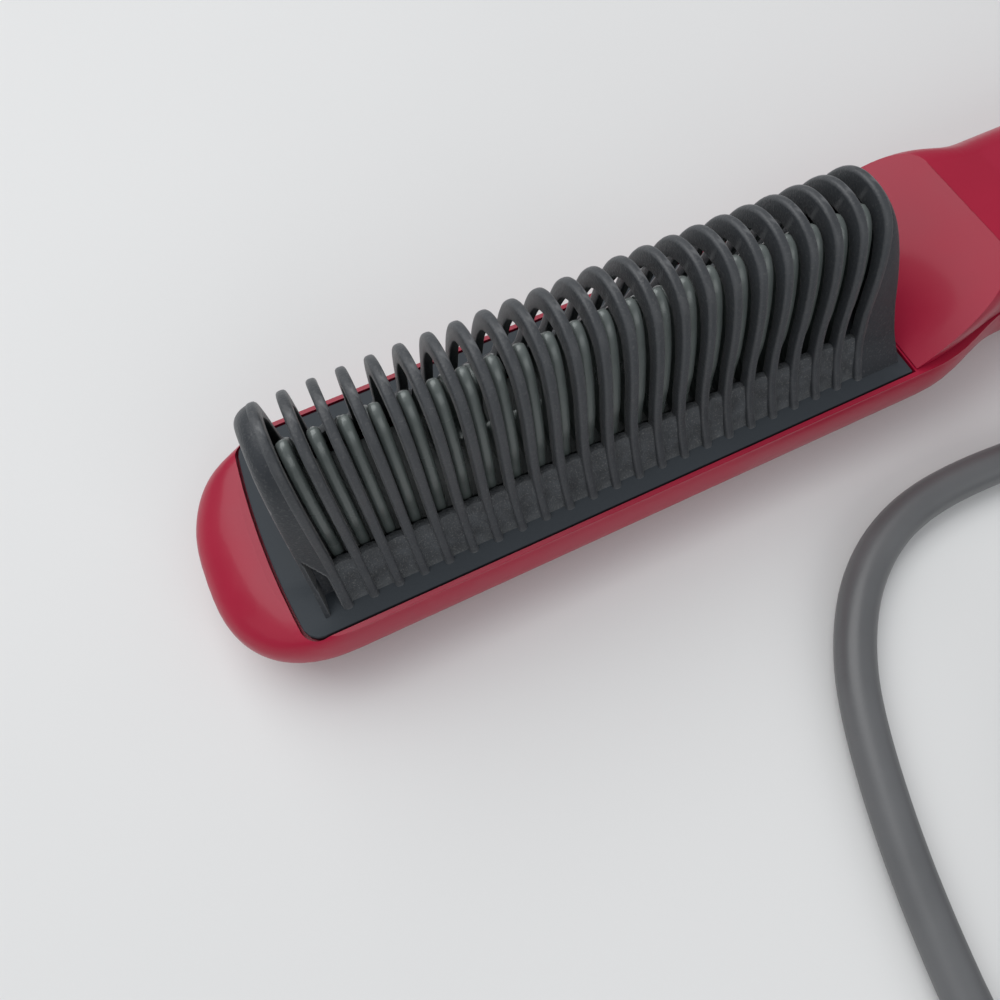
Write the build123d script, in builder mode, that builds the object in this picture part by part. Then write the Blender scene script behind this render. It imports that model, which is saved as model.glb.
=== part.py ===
from build123d import *
import math
import os

# Hair straightening brush, lying on its back with the comb upwards.
# Millimetres. X runs from the nose to the cord, Z is up, and the origin is
# under the middle of the object, on the surface that it rests on.

# Overall
handle_length = 127.7
cord_end_length = 52.0
parting_z = 16.0
axis_z = parting_z

# Comb
arch_pitch = 4.5
arch_count = 23
arch_thickness = 1.6
arch_height = 32.0
nose_to_first_arch = 21.3
plate_rear_reach = 10.0
comb_length = arch_pitch * (arch_count - 1)
head_length = nose_to_first_arch + comb_length + plate_rear_reach
overall_length = head_length + handle_length + cord_end_length
nose_x = -overall_length / 2
first_arch_x = nose_x + nose_to_first_arch
last_arch_x = first_arch_x + comb_length
arch_spots = [first_arch_x + arch_pitch * i for i in range(arch_count)]
foot_half = 17.9
shoulder_half = 6.6
rib_thickness = 2.1
crown_thickness = 3.8
web_height = 7.4
web_thickness = 1.5
hood_run = 4.4
hood_top_run = 3.7
hood_drop = 3.4
hood_wall = 1.8
rear_run = 9.0

# Guard plate
plate_thickness = 2.0
plate_half = 20.1
plate_nose_reach = 9.5
plate_bow = 1.0
plate_corner = 3.2
plate_gap = 0.25
guard_window_half = 12.4
plate_rear_x = last_arch_x + plate_rear_reach
plate_z = parting_z - plate_thickness

# Housing
wall = 2.2
head_half = 22.0
handle_half = 17.0
widest_z = 10.6
land_half = 8.0
land_reach = 11.5
rim_draft = 0.8
rim_reach = 11.0
ledge_width = 1.5
neck_start_x = plate_rear_x + 4.0
neck_end_x = neck_start_x + 24.0
cover_front_x = plate_rear_x + 0.3
cover_height = 15.0
cover_slope_run = 17.0
cover_top_half = 8.0
cover_top_z = parting_z + cover_height
tail_x = plate_rear_x + handle_length
tail_half = 12.5
tail_taper = 16.0
tail_setback = 5.0
seam_gap = 0.25

# Heating comb
fin_thickness = 1.4
fin_gap = 0.35
fin_inset = 1.7
fin_drop = 2.3
fin_tip_inset = 0.9
fin_valley_z = parting_z + 9.0
fin_offset = arch_thickness / 2 + 0.25 + fin_thickness / 2
fin_spots = [x - fin_offset for x in arch_spots[1:]]
block_half = 9.5
block_top_z = parting_z + 3.0
flange_half = 13.0
flange_thickness = 2.5
flange_z = 9.5
block_end = 1.6
heater_length = 44.0
heater_width = 7.0
heater_thickness = 1.4
heater_gap = 5.0
sheet_thickness = 0.5
clamp_thickness = 1.2
clamp_screw_radius = 1.2
frame_wall = 2.4

# Screws
screw_radius = 1.15
screw_head_radius = 2.4
screw_head_height = 1.8
post_radius = 3.4
hole_clearance = 0.1
head_screw_y = 7.0
head_screw_x = [first_arch_x - 4.8, last_arch_x + 6.8]
handle_screw_y = 10.5
handle_screw_x = [cover_front_x + 30.4, tail_x - 23.0]
counterbore_depth = 3.0
head_spots = [(x, y) for x in head_screw_x for y in (-head_screw_y, head_screw_y)]
handle_spots = [(x, y) for x in handle_screw_x for y in (-handle_screw_y, handle_screw_y)]

# Control board
board_length = 62.0
board_width = 24.0
board_thickness = 1.6
board_x = cover_front_x + 67.4
board_z = 20.4
board_post_radius = 2.3
board_post_y = 9.0
board_post_x = [board_x - board_length / 2 + 4.0, board_x + board_length / 2 - 4.0]
board_spots = [(x, y) for x in board_post_x for y in (-board_post_y, board_post_y)]
cover_wall = 2.2
board_top_z = board_z + board_thickness

# Display and buttons
display_length = 17.0
display_width = 11.0
display_height = 5.8
display_x = board_x - 19.0
lens_fit = 0.15
button_pitch = 11.0
button_x = [display_x + 18.0 + button_pitch * i for i in range(3)]
button_radius = 3.4
button_gap = 0.3
button_proud = 0.6
button_flange = 0.8
button_flange_height = 0.9
switch_side = 6.0
switch_height = 4.0
plunger_radius = 1.6
plunger_height = 0.5
press_gap = 0.55

# Cord swivel
socket_bore = 6.3
swivel_gap = 0.3
socket_neck = 8.2
socket_flange = 9.3
socket_flange_length = 3.0
pocket_depth_gap = 0.4
socket_dome = 11.0
socket_dome_end = 8.8
socket_length = 8.0
socket_inner_x = tail_x - wall - socket_flange_length - 0.2
socket_end_x = tail_x + socket_length
barrel_flange = 7.6
barrel_flange_length = 2.7
barrel_tail = 3.4
barrel_tail_length = 11.0
barrel_bore = 1.6
ring_radius = 4.4
ring_width = 2.2
brush_gap = 0.3
brush_width = 1.8

# Cord
cord_diameter = 7.0
cord_radius = cord_diameter / 2
boot_radius = 6.4
boot_tip_radius = 4.7
boot_bore_gap = 0.3
coil_x = -3.7
coil_y = -125.0
coil_outer = 48.0
coil_step = 3.75
coil_inner_step = 4.95
coil_half_turns_in = 6
coil_half_turns_out = 5
layer_rise = 7.5
tie_thickness = 0.7
tie_width = 9.0
tie_gap = 0.2
tie_slack = 1.4
coil_z = cord_radius + tie_thickness + tie_gap
coil_lead_in = cord_diameter
coil_lead_out = 4 * cord_diameter

# Plug
plug_boot_length = 22.0
plug_length = 34.0
plug_width = 36.0
plug_corner = 8.0
pin_spacing = 19.0
pin_radius = 2.4
pin_length = 19.0

os.makedirs("parts", exist_ok=True)


def superellipse(u, power):
    return max(0.0, 1.0 - min(u, 1.0) ** power) ** (1.0 / power)


def housing_share(z):
    return superellipse((widest_z - z) / widest_z, 2.4) if z < widest_z else 1.0


def rim_rise(z):
    return max(0.0, (z - widest_z) / (parting_z - widest_z))


def side_half(z, half):
    lower = land_half * half / head_half
    return lower + (half - lower) * housing_share(z) - rim_draft * rim_rise(z) ** 2


def nose_reach(z):
    if z <= widest_z:
        return land_reach + (nose_to_first_arch - land_reach) * housing_share(z)
    top = superellipse(rim_rise(z), 1.6)
    return rim_reach + (nose_to_first_arch - rim_reach) * top


def cavity_reach(z):
    if z <= widest_z:
        return nose_reach(z) - wall
    top = superellipse((z - widest_z) / (plate_z - widest_z), 1.6)
    inner = plate_nose_reach - ledge_width
    return inner + (nose_to_first_arch - wall - inner) * top


def nose_points(reach, half, steps=10):
    points = []
    for i in range(steps + 1):
        angle = math.pi * (i / steps - 0.5)
        across = abs(math.sin(angle)) ** (2 / 2.6) * math.copysign(1.0, angle)
        ahead = max(0.0, math.cos(angle)) ** (2 / 2.6)
        points.append((first_arch_x - reach * ahead, half * across))
    return points


def housing_outline(reach, half, grip, tail_end, tail_width):
    nose = nose_points(reach, half)
    taper_x = tail_x - tail_taper
    Spline(*nose, tangents=[(-1, 0), (1, 0)])
    for side in (1, -1):
        Line((first_arch_x, side * half), (neck_start_x, side * half))
        Spline(
            (neck_start_x, side * half),
            (neck_end_x, side * grip),
            tangents=[(1, 0), (1, 0)],
        )
        Line((neck_end_x, side * grip), (taper_x, side * grip))
        Spline(
            (taper_x, side * grip),
            (tail_end, side * tail_width),
            tangents=[(1, 0), (1, -side)],
        )
    Line((tail_end, tail_width), (tail_end, -tail_width))


def cover_outline(front, half, grip, tail_end, tail_width):
    taper_x = tail_x - tail_taper
    for side in (1, -1):
        Spline(
            (front, side * half),
            (neck_end_x, side * grip),
            tangents=[(1, 0), (1, 0)],
        )
        Line((neck_end_x, side * grip), (taper_x, side * grip))
        Spline(
            (taper_x, side * grip),
            (tail_end, side * tail_width),
            tangents=[(1, 0), (1, -side)],
        )
    Line((front, half), (front, -half))
    Line((tail_end, tail_width), (tail_end, -tail_width))


def tail_end_at(z):
    return tail_x - tail_setback * (1.0 - housing_share(z))


def plate_outline(gap=0.0):
    nose = first_arch_x - plate_nose_reach - gap
    half = plate_half + gap
    rear = plate_rear_x + gap
    corner_x = nose + plate_bow + plate_corner
    for side in (1, -1):
        Line((rear, side * half), (corner_x, side * half))
    RadiusArc((corner_x, -half), (nose + plate_bow, -half + plate_corner), plate_corner)
    ThreePointArc(
        (nose + plate_bow, -half + plate_corner),
        (nose, 0),
        (nose + plate_bow, half - plate_corner),
    )
    RadiusArc((nose + plate_bow, half - plate_corner), (corner_x, half), plate_corner)
    Line((rear, half), (rear, -half))


# Back shell, the red bowl under the head and the back of the handle
shell_levels = [0.0, 1.2, 3.5, 7.0, widest_z, 13.0, 15.0, parting_z]
cavity_levels = [wall, 4.0, 7.0, widest_z, 12.5, plate_z]

with BuildPart() as back_shell:
    for z in shell_levels:
        with BuildSketch(Plane.XY.offset(z)):
            with BuildLine():
                housing_outline(
                    nose_reach(z),
                    side_half(z, head_half),
                    side_half(z, handle_half),
                    tail_end_at(z),
                    side_half(z, tail_half),
                )
            make_face()
    loft()
    for z in cavity_levels:
        with BuildSketch(Plane.XY.offset(z)):
            with BuildLine():
                housing_outline(
                    cavity_reach(z),
                    side_half(z, head_half) - wall,
                    side_half(z, handle_half) - wall,
                    tail_end_at(z) - wall,
                    side_half(z, tail_half) - wall,
                )
            make_face()
    loft(mode=Mode.SUBTRACT)
    with BuildSketch(Plane.XY.offset(plate_z)):
        with BuildLine():
            plate_outline(plate_gap)
        make_face()
    extrude(amount=plate_thickness + 1.0, mode=Mode.SUBTRACT)
    handle_cavity_start = neck_end_x - 10.0
    with BuildSketch(Plane.XY.offset(plate_z - 0.5)):
        with Locations(((handle_cavity_start + tail_x - tail_taper) / 2, 0)):
            Rectangle(
                tail_x - tail_taper - handle_cavity_start,
                2 * (side_half(parting_z, handle_half) - wall),
            )
    extrude(amount=plate_thickness + 1.5, mode=Mode.SUBTRACT)
    with BuildSketch(Plane.XY.offset(plate_z - 0.5)):
        with Locations((tail_x - tail_taper + 5.4, 0)):
            Rectangle(tail_taper - wall - 0.4, 2 * (tail_half - wall))
    extrude(amount=plate_thickness + 1.5, mode=Mode.SUBTRACT)
    with BuildSketch(Plane.XY.offset(wall - 0.2)):
        with Locations(*head_spots):
            Circle(post_radius)
    extrude(amount=flange_z - wall + 0.2)
    with BuildSketch(Plane.XY.offset(wall - 0.2)):
        with Locations(*handle_spots):
            Circle(post_radius)
    extrude(amount=parting_z - wall + 0.2)
    with Locations(*[(x, y, 0) for x, y in head_spots + handle_spots]):
        Cylinder(
            screw_radius + hole_clearance,
            parting_z + 1,
            align=(Align.CENTER, Align.CENTER, Align.MIN),
            mode=Mode.SUBTRACT,
        )
        Cylinder(
            screw_head_radius + hole_clearance,
            counterbore_depth,
            align=(Align.CENTER, Align.CENTER, Align.MIN),
            mode=Mode.SUBTRACT,
        )
    with BuildSketch(Plane.YZ.offset(tail_x - tail_taper / 2)):
        with Locations((0, axis_z)):
            Circle(socket_neck + hole_clearance)
    extrude(amount=tail_taper, mode=Mode.SUBTRACT)
    with BuildSketch(Plane.YZ.offset(socket_inner_x - swivel_gap)):
        with Locations((0, axis_z)):
            Circle(socket_flange + hole_clearance)
    extrude(amount=socket_flange_length + swivel_gap + pocket_depth_gap, mode=Mode.SUBTRACT)
back_shell.part.label = "back_shell"
export_step(back_shell.part, "parts/back_shell.step")


# Comb guard
def arch_outer(side):
    return [
        (side * foot_half, parting_z),
        (side * (foot_half - 2.6), parting_z + 3.2),
        (side * (foot_half - 5.0), parting_z + 8.6),
        (side * (foot_half - 6.9), parting_z + 16.0),
        (side * (foot_half - 9.0), parting_z + 23.6),
        (side * shoulder_half, parting_z + 29.0),
        (0, parting_z + arch_height),
    ]


def arch_inner(side, gap=0.0):
    thickness = rib_thickness + gap
    return [
        (side * (foot_half - 2.0 * thickness), parting_z),
        (side * (foot_half - 2.6 - 1.5 * thickness), parting_z + 3.2),
        (side * (foot_half - 5.0 - thickness), parting_z + 8.2),
        (side * (foot_half - 6.9 - thickness), parting_z + 15.6),
        (side * (foot_half - 9.0 - thickness), parting_z + 22.8),
        (side * (shoulder_half - thickness), parting_z + 27.2 - gap),
        (0, parting_z + arch_height - crown_thickness - gap),
    ]


def arch_curve(points):
    Spline(*points, tangents=[(0, 1), (-points[0][0], 0)], tangent_scalars=[0.6, 1.0])


with BuildPart() as arch_form:
    with BuildSketch(Plane.YZ):
        with BuildLine():
            for side in (1, -1):
                arch_curve(arch_outer(side))
                arch_curve(arch_inner(side))
                Line(arch_outer(side)[0], arch_inner(side)[0])
        make_face()
    extrude(amount=arch_thickness / 2, both=True)

with BuildPart() as hood_form:
    with BuildSketch(Plane.YZ.offset(first_arch_x - hood_run - 2)):
        with BuildLine():
            for side in (1, -1):
                arch_curve(arch_outer(side))
            Line(arch_outer(1)[0], arch_outer(-1)[0])
        make_face()
    extrude(amount=hood_run + 2)
    with BuildSketch(Plane.XZ):
        with BuildLine():
            Polyline(
                (first_arch_x, parting_z - 1),
                (first_arch_x - hood_run, parting_z - 1),
                (first_arch_x - hood_run, parting_z),
                (first_arch_x - hood_top_run, parting_z + arch_height - hood_drop),
                (first_arch_x - arch_thickness / 2, parting_z + arch_height),
                (first_arch_x, parting_z + arch_height + 1),
                close=True,
            )
        make_face()
    extrude(amount=2 * foot_half, both=True, mode=Mode.INTERSECT)

with BuildPart() as hood_hollow:
    with BuildSketch(Plane.YZ.offset(first_arch_x - hood_run - 2)):
        with BuildLine():
            for side in (1, -1):
                arch_curve(arch_inner(side))
            Line(arch_inner(1)[0], arch_inner(-1)[0])
        make_face()
    extrude(amount=hood_run + 3)
    with BuildSketch(Plane.XZ):
        with BuildLine():
            Polyline(
                (first_arch_x + 2, parting_z),
                (first_arch_x - hood_run + hood_wall, parting_z),
                (first_arch_x - hood_top_run + hood_wall, parting_z + arch_height - hood_drop),
                (first_arch_x + 1, parting_z + arch_height),
                (first_arch_x + 2, parting_z + arch_height),
                close=True,
            )
        make_face()
    extrude(amount=2 * foot_half, both=True, mode=Mode.INTERSECT)

with BuildPart() as rear_form:
    with BuildSketch(Plane.YZ.offset(last_arch_x)):
        with BuildLine():
            for side in (1, -1):
                arch_curve(arch_outer(side))
            Line(arch_outer(1)[0], arch_outer(-1)[0])
        make_face()
    extrude(amount=rear_run + 2)
    with BuildSketch(Plane.XZ):
        with BuildLine():
            Polyline(
                (last_arch_x, parting_z - 1),
                (last_arch_x + rear_run, parting_z - 1),
                (last_arch_x + rear_run, parting_z),
                (last_arch_x + arch_thickness / 2, parting_z + arch_height),
                (last_arch_x, parting_z + arch_height + 1),
                close=True,
            )
        make_face()
    extrude(amount=2 * foot_half, both=True, mode=Mode.INTERSECT)

with BuildPart() as rear_hollow:
    with BuildSketch(Plane.YZ.offset(last_arch_x - 1)):
        with BuildLine():
            for side in (1, -1):
                arch_curve(arch_inner(side))
            Line(arch_inner(1)[0], arch_inner(-1)[0])
        make_face()
    extrude(amount=rear_run + 3)
    with BuildSketch(Plane.XZ):
        with BuildLine():
            Polyline(
                (last_arch_x - 2, parting_z),
                (last_arch_x + rear_run - hood_wall, parting_z),
                (last_arch_x + arch_thickness / 2 - hood_wall, parting_z + arch_height),
                (last_arch_x - 2, parting_z + arch_height),
                close=True,
            )
        make_face()
    extrude(amount=2 * foot_half, both=True, mode=Mode.INTERSECT)

with BuildPart() as comb_guard:
    with BuildSketch(Plane.XY.offset(plate_z)):
        with BuildLine():
            plate_outline()
        make_face()
    extrude(amount=plate_thickness)
    with BuildSketch(Plane.XY.offset(plate_z)):
        with Locations(((first_arch_x + last_arch_x) / 2, 0)):
            Rectangle(last_arch_x - first_arch_x + 2 * block_end, 2 * guard_window_half)
    extrude(amount=plate_thickness, mode=Mode.SUBTRACT)
    add(hood_form.part)
    add(hood_hollow.part, mode=Mode.SUBTRACT)
    add(rear_form.part)
    add(rear_hollow.part, mode=Mode.SUBTRACT)
    for side in (1, -1):
        with BuildSketch(Plane.YZ.offset(first_arch_x)):
            with BuildLine():
                Polyline(
                    (side * (foot_half - 1.2), parting_z),
                    (side * (foot_half - 5.6), parting_z + web_height),
                    (side * (foot_half - 5.6 - web_thickness), parting_z + web_height),
                    (side * (foot_half - 1.8 - 2 * web_thickness), parting_z),
                    close=True,
                )
            make_face()
        extrude(amount=last_arch_x - first_arch_x)
    with Locations(*[(x, 0, 0) for x in arch_spots]):
        add(arch_form.part)
    with BuildSketch(Plane.XY.offset(flange_z + seam_gap)):
        with Locations(*head_spots):
            Circle(post_radius - 0.8)
    extrude(amount=plate_z - flange_z - seam_gap)
    with Locations(*[(x, y, flange_z) for x, y in head_spots]):
        Cylinder(
            screw_radius + hole_clearance / 2,
            plate_z - flange_z + plate_thickness / 2,
            align=(Align.CENTER, Align.CENTER, Align.MIN),
            mode=Mode.SUBTRACT,
        )
comb_guard.part.label = "comb_guard"
export_step(comb_guard.part, "parts/comb_guard.step")

# Heating comb
fin_top = parting_z + arch_height - fin_drop


def fin_outer(side):
    low = arch_inner(side, fin_gap)[1:3]
    high = arch_outer(side)[3:6]
    return low + [(y - side * fin_inset, z - fin_inset * (z - parting_z) / arch_height) for y, z in high]


with BuildPart() as fin_form:
    for side in (1, -1):
        outer = fin_outer(side)
        tip = (side * (fin_tip_inset + 1.6), fin_top)
        with BuildSketch(Plane.YZ):
            with BuildLine():
                Spline(*outer)
                Line(outer[-1], tip)
                Line(tip, (side * fin_tip_inset, fin_top - 1.6))
                Line((side * fin_tip_inset, fin_top - 1.6), (side * 2.4, fin_valley_z + 3.0))
                Line((side * 2.4, fin_valley_z + 3.0), (side * 1.2, fin_valley_z))
                Line((side * 1.2, fin_valley_z), (0, fin_valley_z))
                Line((0, fin_valley_z), (0, block_top_z - 1.0))
                Line((0, block_top_z - 1.0), (side * block_half, block_top_z - 1.0))
                Line((side * block_half, block_top_z - 1.0), outer[0])
            make_face()
        extrude(amount=fin_thickness / 2, both=True)

with BuildPart() as heater_fin_block:
    block_length = last_arch_x - first_arch_x + 2 * block_end - 0.6
    with BuildSketch(Plane.XY.offset(flange_z)):
        with Locations(((first_arch_x + last_arch_x) / 2, 0)):
            Rectangle(block_length, 2 * flange_half)
    extrude(amount=flange_thickness)
    with BuildSketch(Plane.XY.offset(flange_z)):
        with Locations(((first_arch_x + last_arch_x) / 2, 0)):
            Rectangle(block_length, 2 * block_half)
    extrude(amount=block_top_z - flange_z)
    with Locations(*[(x, 0, 0) for x in fin_spots]):
        add(fin_form.part)
    clamp_spots = [
        (first_arch_x + share * (last_arch_x - first_arch_x), side * (block_half - 2.6))
        for share in (0.05, 0.5, 0.95)
        for side in (1, -1)
    ]
    with Locations(*[(x, y, flange_z) for x, y in clamp_spots]):
        Cylinder(
            clamp_screw_radius + hole_clearance / 2,
            6.0,
            align=(Align.CENTER, Align.CENTER, Align.MIN),
            mode=Mode.SUBTRACT,
        )
heater_fin_block.part.label = "heater_fin_block"
export_step(heater_fin_block.part, "parts/heater_fin_block.step")

# Ceramic heaters, mica sheet, clamp plate and screws under the comb
comb_mid_x = (first_arch_x + last_arch_x) / 2
heater_spots = [comb_mid_x - (heater_length + heater_gap) / 2, comb_mid_x + (heater_length + heater_gap) / 2]
heater_z = flange_z - heater_thickness
sheet_z = heater_z - sheet_thickness
clamp_z = sheet_z - clamp_thickness

with BuildPart() as ceramic_heaters:
    with BuildSketch(Plane.XY.offset(heater_z)):
        with Locations(*[(x, 0) for x in heater_spots]):
            RectangleRounded(heater_length, heater_width, 0.6)
    extrude(amount=heater_thickness)
ceramic_heaters.part.label = "ceramic_heaters"
export_step(ceramic_heaters.part, "parts/ceramic_heaters.step")

with BuildPart() as mica_sheet:
    with BuildSketch(Plane.XY.offset(sheet_z)):
        with Locations((comb_mid_x, 0)):
            Rectangle(2 * heater_length + heater_gap + 1.0, heater_width + 1.2)
    extrude(amount=sheet_thickness)
mica_sheet.part.label = "mica_sheet"
export_step(mica_sheet.part, "parts/mica_sheet.step")

with BuildPart() as heater_clamp:
    with BuildSketch(Plane.XY.offset(clamp_z)):
        with Locations((comb_mid_x, 0)):
            Rectangle(block_length - 2 * frame_wall - 1.0, 2 * block_half - 0.6)
        with Locations(*clamp_spots):
            Circle(clamp_screw_radius + hole_clearance, mode=Mode.SUBTRACT)
    extrude(amount=clamp_thickness)
    with BuildSketch(Plane.XY.offset(clamp_z + clamp_thickness)):
        with Locations(*clamp_spots):
            Circle(2.1)
            Circle(clamp_screw_radius + hole_clearance, mode=Mode.SUBTRACT)
    extrude(amount=flange_z - clamp_z - clamp_thickness)
heater_clamp.part.label = "heater_clamp"
export_step(heater_clamp.part, "parts/heater_clamp.step")

with BuildPart() as clamp_screws:
    with BuildSketch(Plane.XY.offset(clamp_z - 1.2)):
        with Locations(*clamp_spots):
            Circle(2.1)
    extrude(amount=1.2)
    with BuildSketch(Plane.XY.offset(clamp_z)):
        with Locations(*clamp_spots):
            Circle(clamp_screw_radius)
    extrude(amount=flange_z - clamp_z + 5.0)
clamp_screws.part.label = "clamp_screws"
export_step(clamp_screws.part, "parts/clamp_screws.step")

# Heat resistant frame that carries the comb's flange on the shell's floor
with BuildPart() as heater_frame:
    with BuildSketch(Plane.XY.offset(wall)):
        with Locations((comb_mid_x, 0)):
            Rectangle(block_length, 2 * flange_half)
            Rectangle(
                block_length - 2 * frame_wall,
                2 * (flange_half - frame_wall),
                mode=Mode.SUBTRACT,
            )
    extrude(amount=flange_z - wall)
    with BuildSketch(Plane.XY.offset(wall)):
        with Locations((comb_mid_x, 0)):
            Rectangle(block_length - 1.0, 2 * flange_half - 1.0)
    extrude(amount=1.0)
    with BuildSketch(Plane.YZ.offset(last_arch_x - 2.0)):
        with Locations((0, flange_z - 2.2)):
            Rectangle(12.0, 4.4)
    extrude(amount=block_end + 4.0, mode=Mode.SUBTRACT)
heater_frame.part.label = "heater_frame"
export_step(heater_frame.part, "parts/heater_frame.step")

pad_thickness = clamp_z - 1.2 - wall - 1.0
with BuildPart() as insulation_pad:
    with BuildSketch(Plane.XY.offset(wall + 1.0)):
        with Locations((comb_mid_x, 0)):
            Rectangle(block_length - 2 * frame_wall - 1.0, 2 * (flange_half - frame_wall) - 1.0)
    extrude(amount=pad_thickness)
insulation_pad.part.label = "insulation_pad"
export_step(insulation_pad.part, "parts/insulation_pad.step")

# Temperature sensor and thermal fuse, one each side of the heaters on the clamp
with BuildPart() as thermistor:
    with BuildSketch(Plane.YZ.offset(comb_mid_x + 8.0)):
        with Locations((heater_width / 2 + 1.7, flange_z - 0.8)):
            Circle(0.8)
    extrude(amount=6.0)
thermistor.part.label = "thermistor"
export_step(thermistor.part, "parts/thermistor.step")

with BuildPart() as thermal_fuse:
    with BuildSketch(Plane.YZ.offset(comb_mid_x + 14.0)):
        with Locations((-heater_width / 2 - 2.0, flange_z - 0.9)):
            Circle(0.9)
    extrude(amount=9.0)
thermal_fuse.part.label = "thermal_fuse"
export_step(thermal_fuse.part, "parts/thermal_fuse.step")


# Handle cover
def cover_share(z):
    return superellipse((z - parting_z) / cover_height, 2.4)


def cover_half(z, half):
    top = cover_top_half * half / handle_half
    return top + (half - rim_draft - top) * cover_share(z)


def cover_front(z, inset=0.0):
    rise = (z - parting_z) / cover_height
    return cover_front_x + cover_slope_run * rise + inset


cover_levels = [parting_z + seam_gap, 19.0, 23.0, 27.0, 29.6, cover_top_z]
cover_cavity_levels = [parting_z, 19.0, 23.0, 26.0, cover_top_z - cover_wall]
front_half = head_half - 1.2

with BuildPart() as handle_cover:
    for z in cover_levels:
        with BuildSketch(Plane.XY.offset(z)):
            with BuildLine():
                cover_outline(
                    cover_front(z),
                    cover_half(z, front_half),
                    cover_half(z, handle_half),
                    tail_x - tail_setback * (1 - cover_share(z)),
                    cover_half(z, tail_half),
                )
            make_face()
    loft()
    for z in cover_cavity_levels:
        with BuildSketch(Plane.XY.offset(z)):
            with BuildLine():
                cover_outline(
                    cover_front(z, cover_wall),
                    cover_half(z, front_half) - cover_wall,
                    cover_half(z, handle_half) - cover_wall,
                    tail_x - tail_setback * (1 - cover_share(z)) - cover_wall,
                    cover_half(z, tail_half) - cover_wall,
                )
            make_face()
    loft(mode=Mode.SUBTRACT)
    with BuildSketch(Plane.XY.offset(parting_z + seam_gap)):
        with Locations(*handle_spots):
            Circle(post_radius - 0.4)
    extrude(amount=8.0)
    with BuildSketch(Plane.XY.offset(board_top_z)):
        with Locations(*board_spots):
            Circle(board_post_radius)
    extrude(amount=cover_top_z - cover_wall - board_top_z + 0.2)
    with Locations(*[(x, y, parting_z) for x, y in handle_spots]):
        Cylinder(
            screw_radius + hole_clearance / 2,
            7.0,
            align=(Align.CENTER, Align.CENTER, Align.MIN),
            mode=Mode.SUBTRACT,
        )
    with Locations(*[(x, y, board_top_z) for x, y in board_spots]):
        Cylinder(
            screw_radius + hole_clearance / 2,
            5.0,
            align=(Align.CENTER, Align.CENTER, Align.MIN),
            mode=Mode.SUBTRACT,
        )
    with BuildSketch(Plane.XY.offset(cover_top_z - cover_wall - 1)):
        with Locations(*[(x, 0) for x in button_x]):
            Circle(button_radius + button_gap)
        with Locations((display_x, 0)):
            RectangleRounded(display_length - 2, display_width - 2, 1.0)
    extrude(amount=cover_wall + 2, mode=Mode.SUBTRACT)
    with BuildSketch(Plane.XY.offset(cover_top_z - 1.0)):
        with Locations((display_x, 0)):
            RectangleRounded(
                display_length + 2 * lens_fit, display_width + 2 * lens_fit, 1.5
            )
    extrude(amount=2, mode=Mode.SUBTRACT)
    with BuildSketch(Plane.YZ.offset(tail_x - tail_taper / 2)):
        with Locations((0, axis_z)):
            Circle(socket_neck + hole_clearance)
    extrude(amount=tail_taper, mode=Mode.SUBTRACT)
    with BuildSketch(Plane.YZ.offset(socket_inner_x - swivel_gap)):
        with Locations((0, axis_z)):
            Circle(socket_flange + hole_clearance)
    extrude(amount=socket_flange_length + swivel_gap + pocket_depth_gap, mode=Mode.SUBTRACT)
handle_cover.part.label = "handle_cover"
export_step(handle_cover.part, "parts/handle_cover.step")

with BuildPart() as display_lens:
    with BuildSketch(Plane.XY.offset(cover_top_z - 1.0)):
        with Locations((display_x, 0)):
            RectangleRounded(display_length, display_width, 1.4)
    extrude(amount=1.0)
display_lens.part.label = "display_lens"
export_step(display_lens.part, "parts/display_lens.step")

# Control board and what is soldered to it
with BuildPart() as control_board:
    with BuildSketch(Plane.XY.offset(board_z)):
        with Locations((board_x, 0)):
            Rectangle(board_length, board_width)
        with Locations(*board_spots):
            Circle(screw_radius + hole_clearance, mode=Mode.SUBTRACT)
    extrude(amount=board_thickness)
control_board.part.label = "control_board"
export_step(control_board.part, "parts/control_board.step")

with BuildPart() as board_screws:
    with BuildSketch(Plane.XY.offset(board_z - 1.4)):
        with Locations(*board_spots):
            Circle(2.1)
    extrude(amount=1.4)
    with BuildSketch(Plane.XY.offset(board_z)):
        with Locations(*board_spots):
            Circle(screw_radius)
    extrude(amount=board_thickness + 4.5)
board_screws.part.label = "board_screws"
export_step(board_screws.part, "parts/board_screws.step")

with BuildPart() as led_display:
    with BuildSketch(Plane.XY.offset(board_top_z)):
        with Locations((display_x, 0)):
            Rectangle(display_length - 3, display_width - 1)
    extrude(amount=display_height)
led_display.part.label = "led_display"
export_step(led_display.part, "parts/led_display.step")

with BuildPart() as tact_switches:
    with BuildSketch(Plane.XY.offset(board_top_z)):
        with Locations(*[(x, 0) for x in button_x]):
            Rectangle(switch_side, switch_side)
    extrude(amount=switch_height - plunger_height)
    with BuildSketch(Plane.XY.offset(board_top_z + switch_height - plunger_height)):
        with Locations(*[(x, 0) for x in button_x]):
            Circle(plunger_radius)
    extrude(amount=plunger_height)
tact_switches.part.label = "tact_switches"
export_step(tact_switches.part, "parts/tact_switches.step")

with BuildPart() as controller_chip:
    with BuildSketch(Plane.XY.offset(board_z - 1.6)):
        with Locations((board_x - 6.0, 5.0)):
            Rectangle(10.0, 5.3)
    extrude(amount=1.6)
controller_chip.part.label = "controller_chip"
export_step(controller_chip.part, "parts/controller_chip.step")

with BuildPart() as triac:
    with BuildSketch(Plane.XY.offset(board_z - 4.6)):
        with Locations((board_x - 14.0, -3.0)):
            Rectangle(15.5, 10.2)
    extrude(amount=4.6)
triac.part.label = "triac"
export_step(triac.part, "parts/triac.step")

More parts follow.
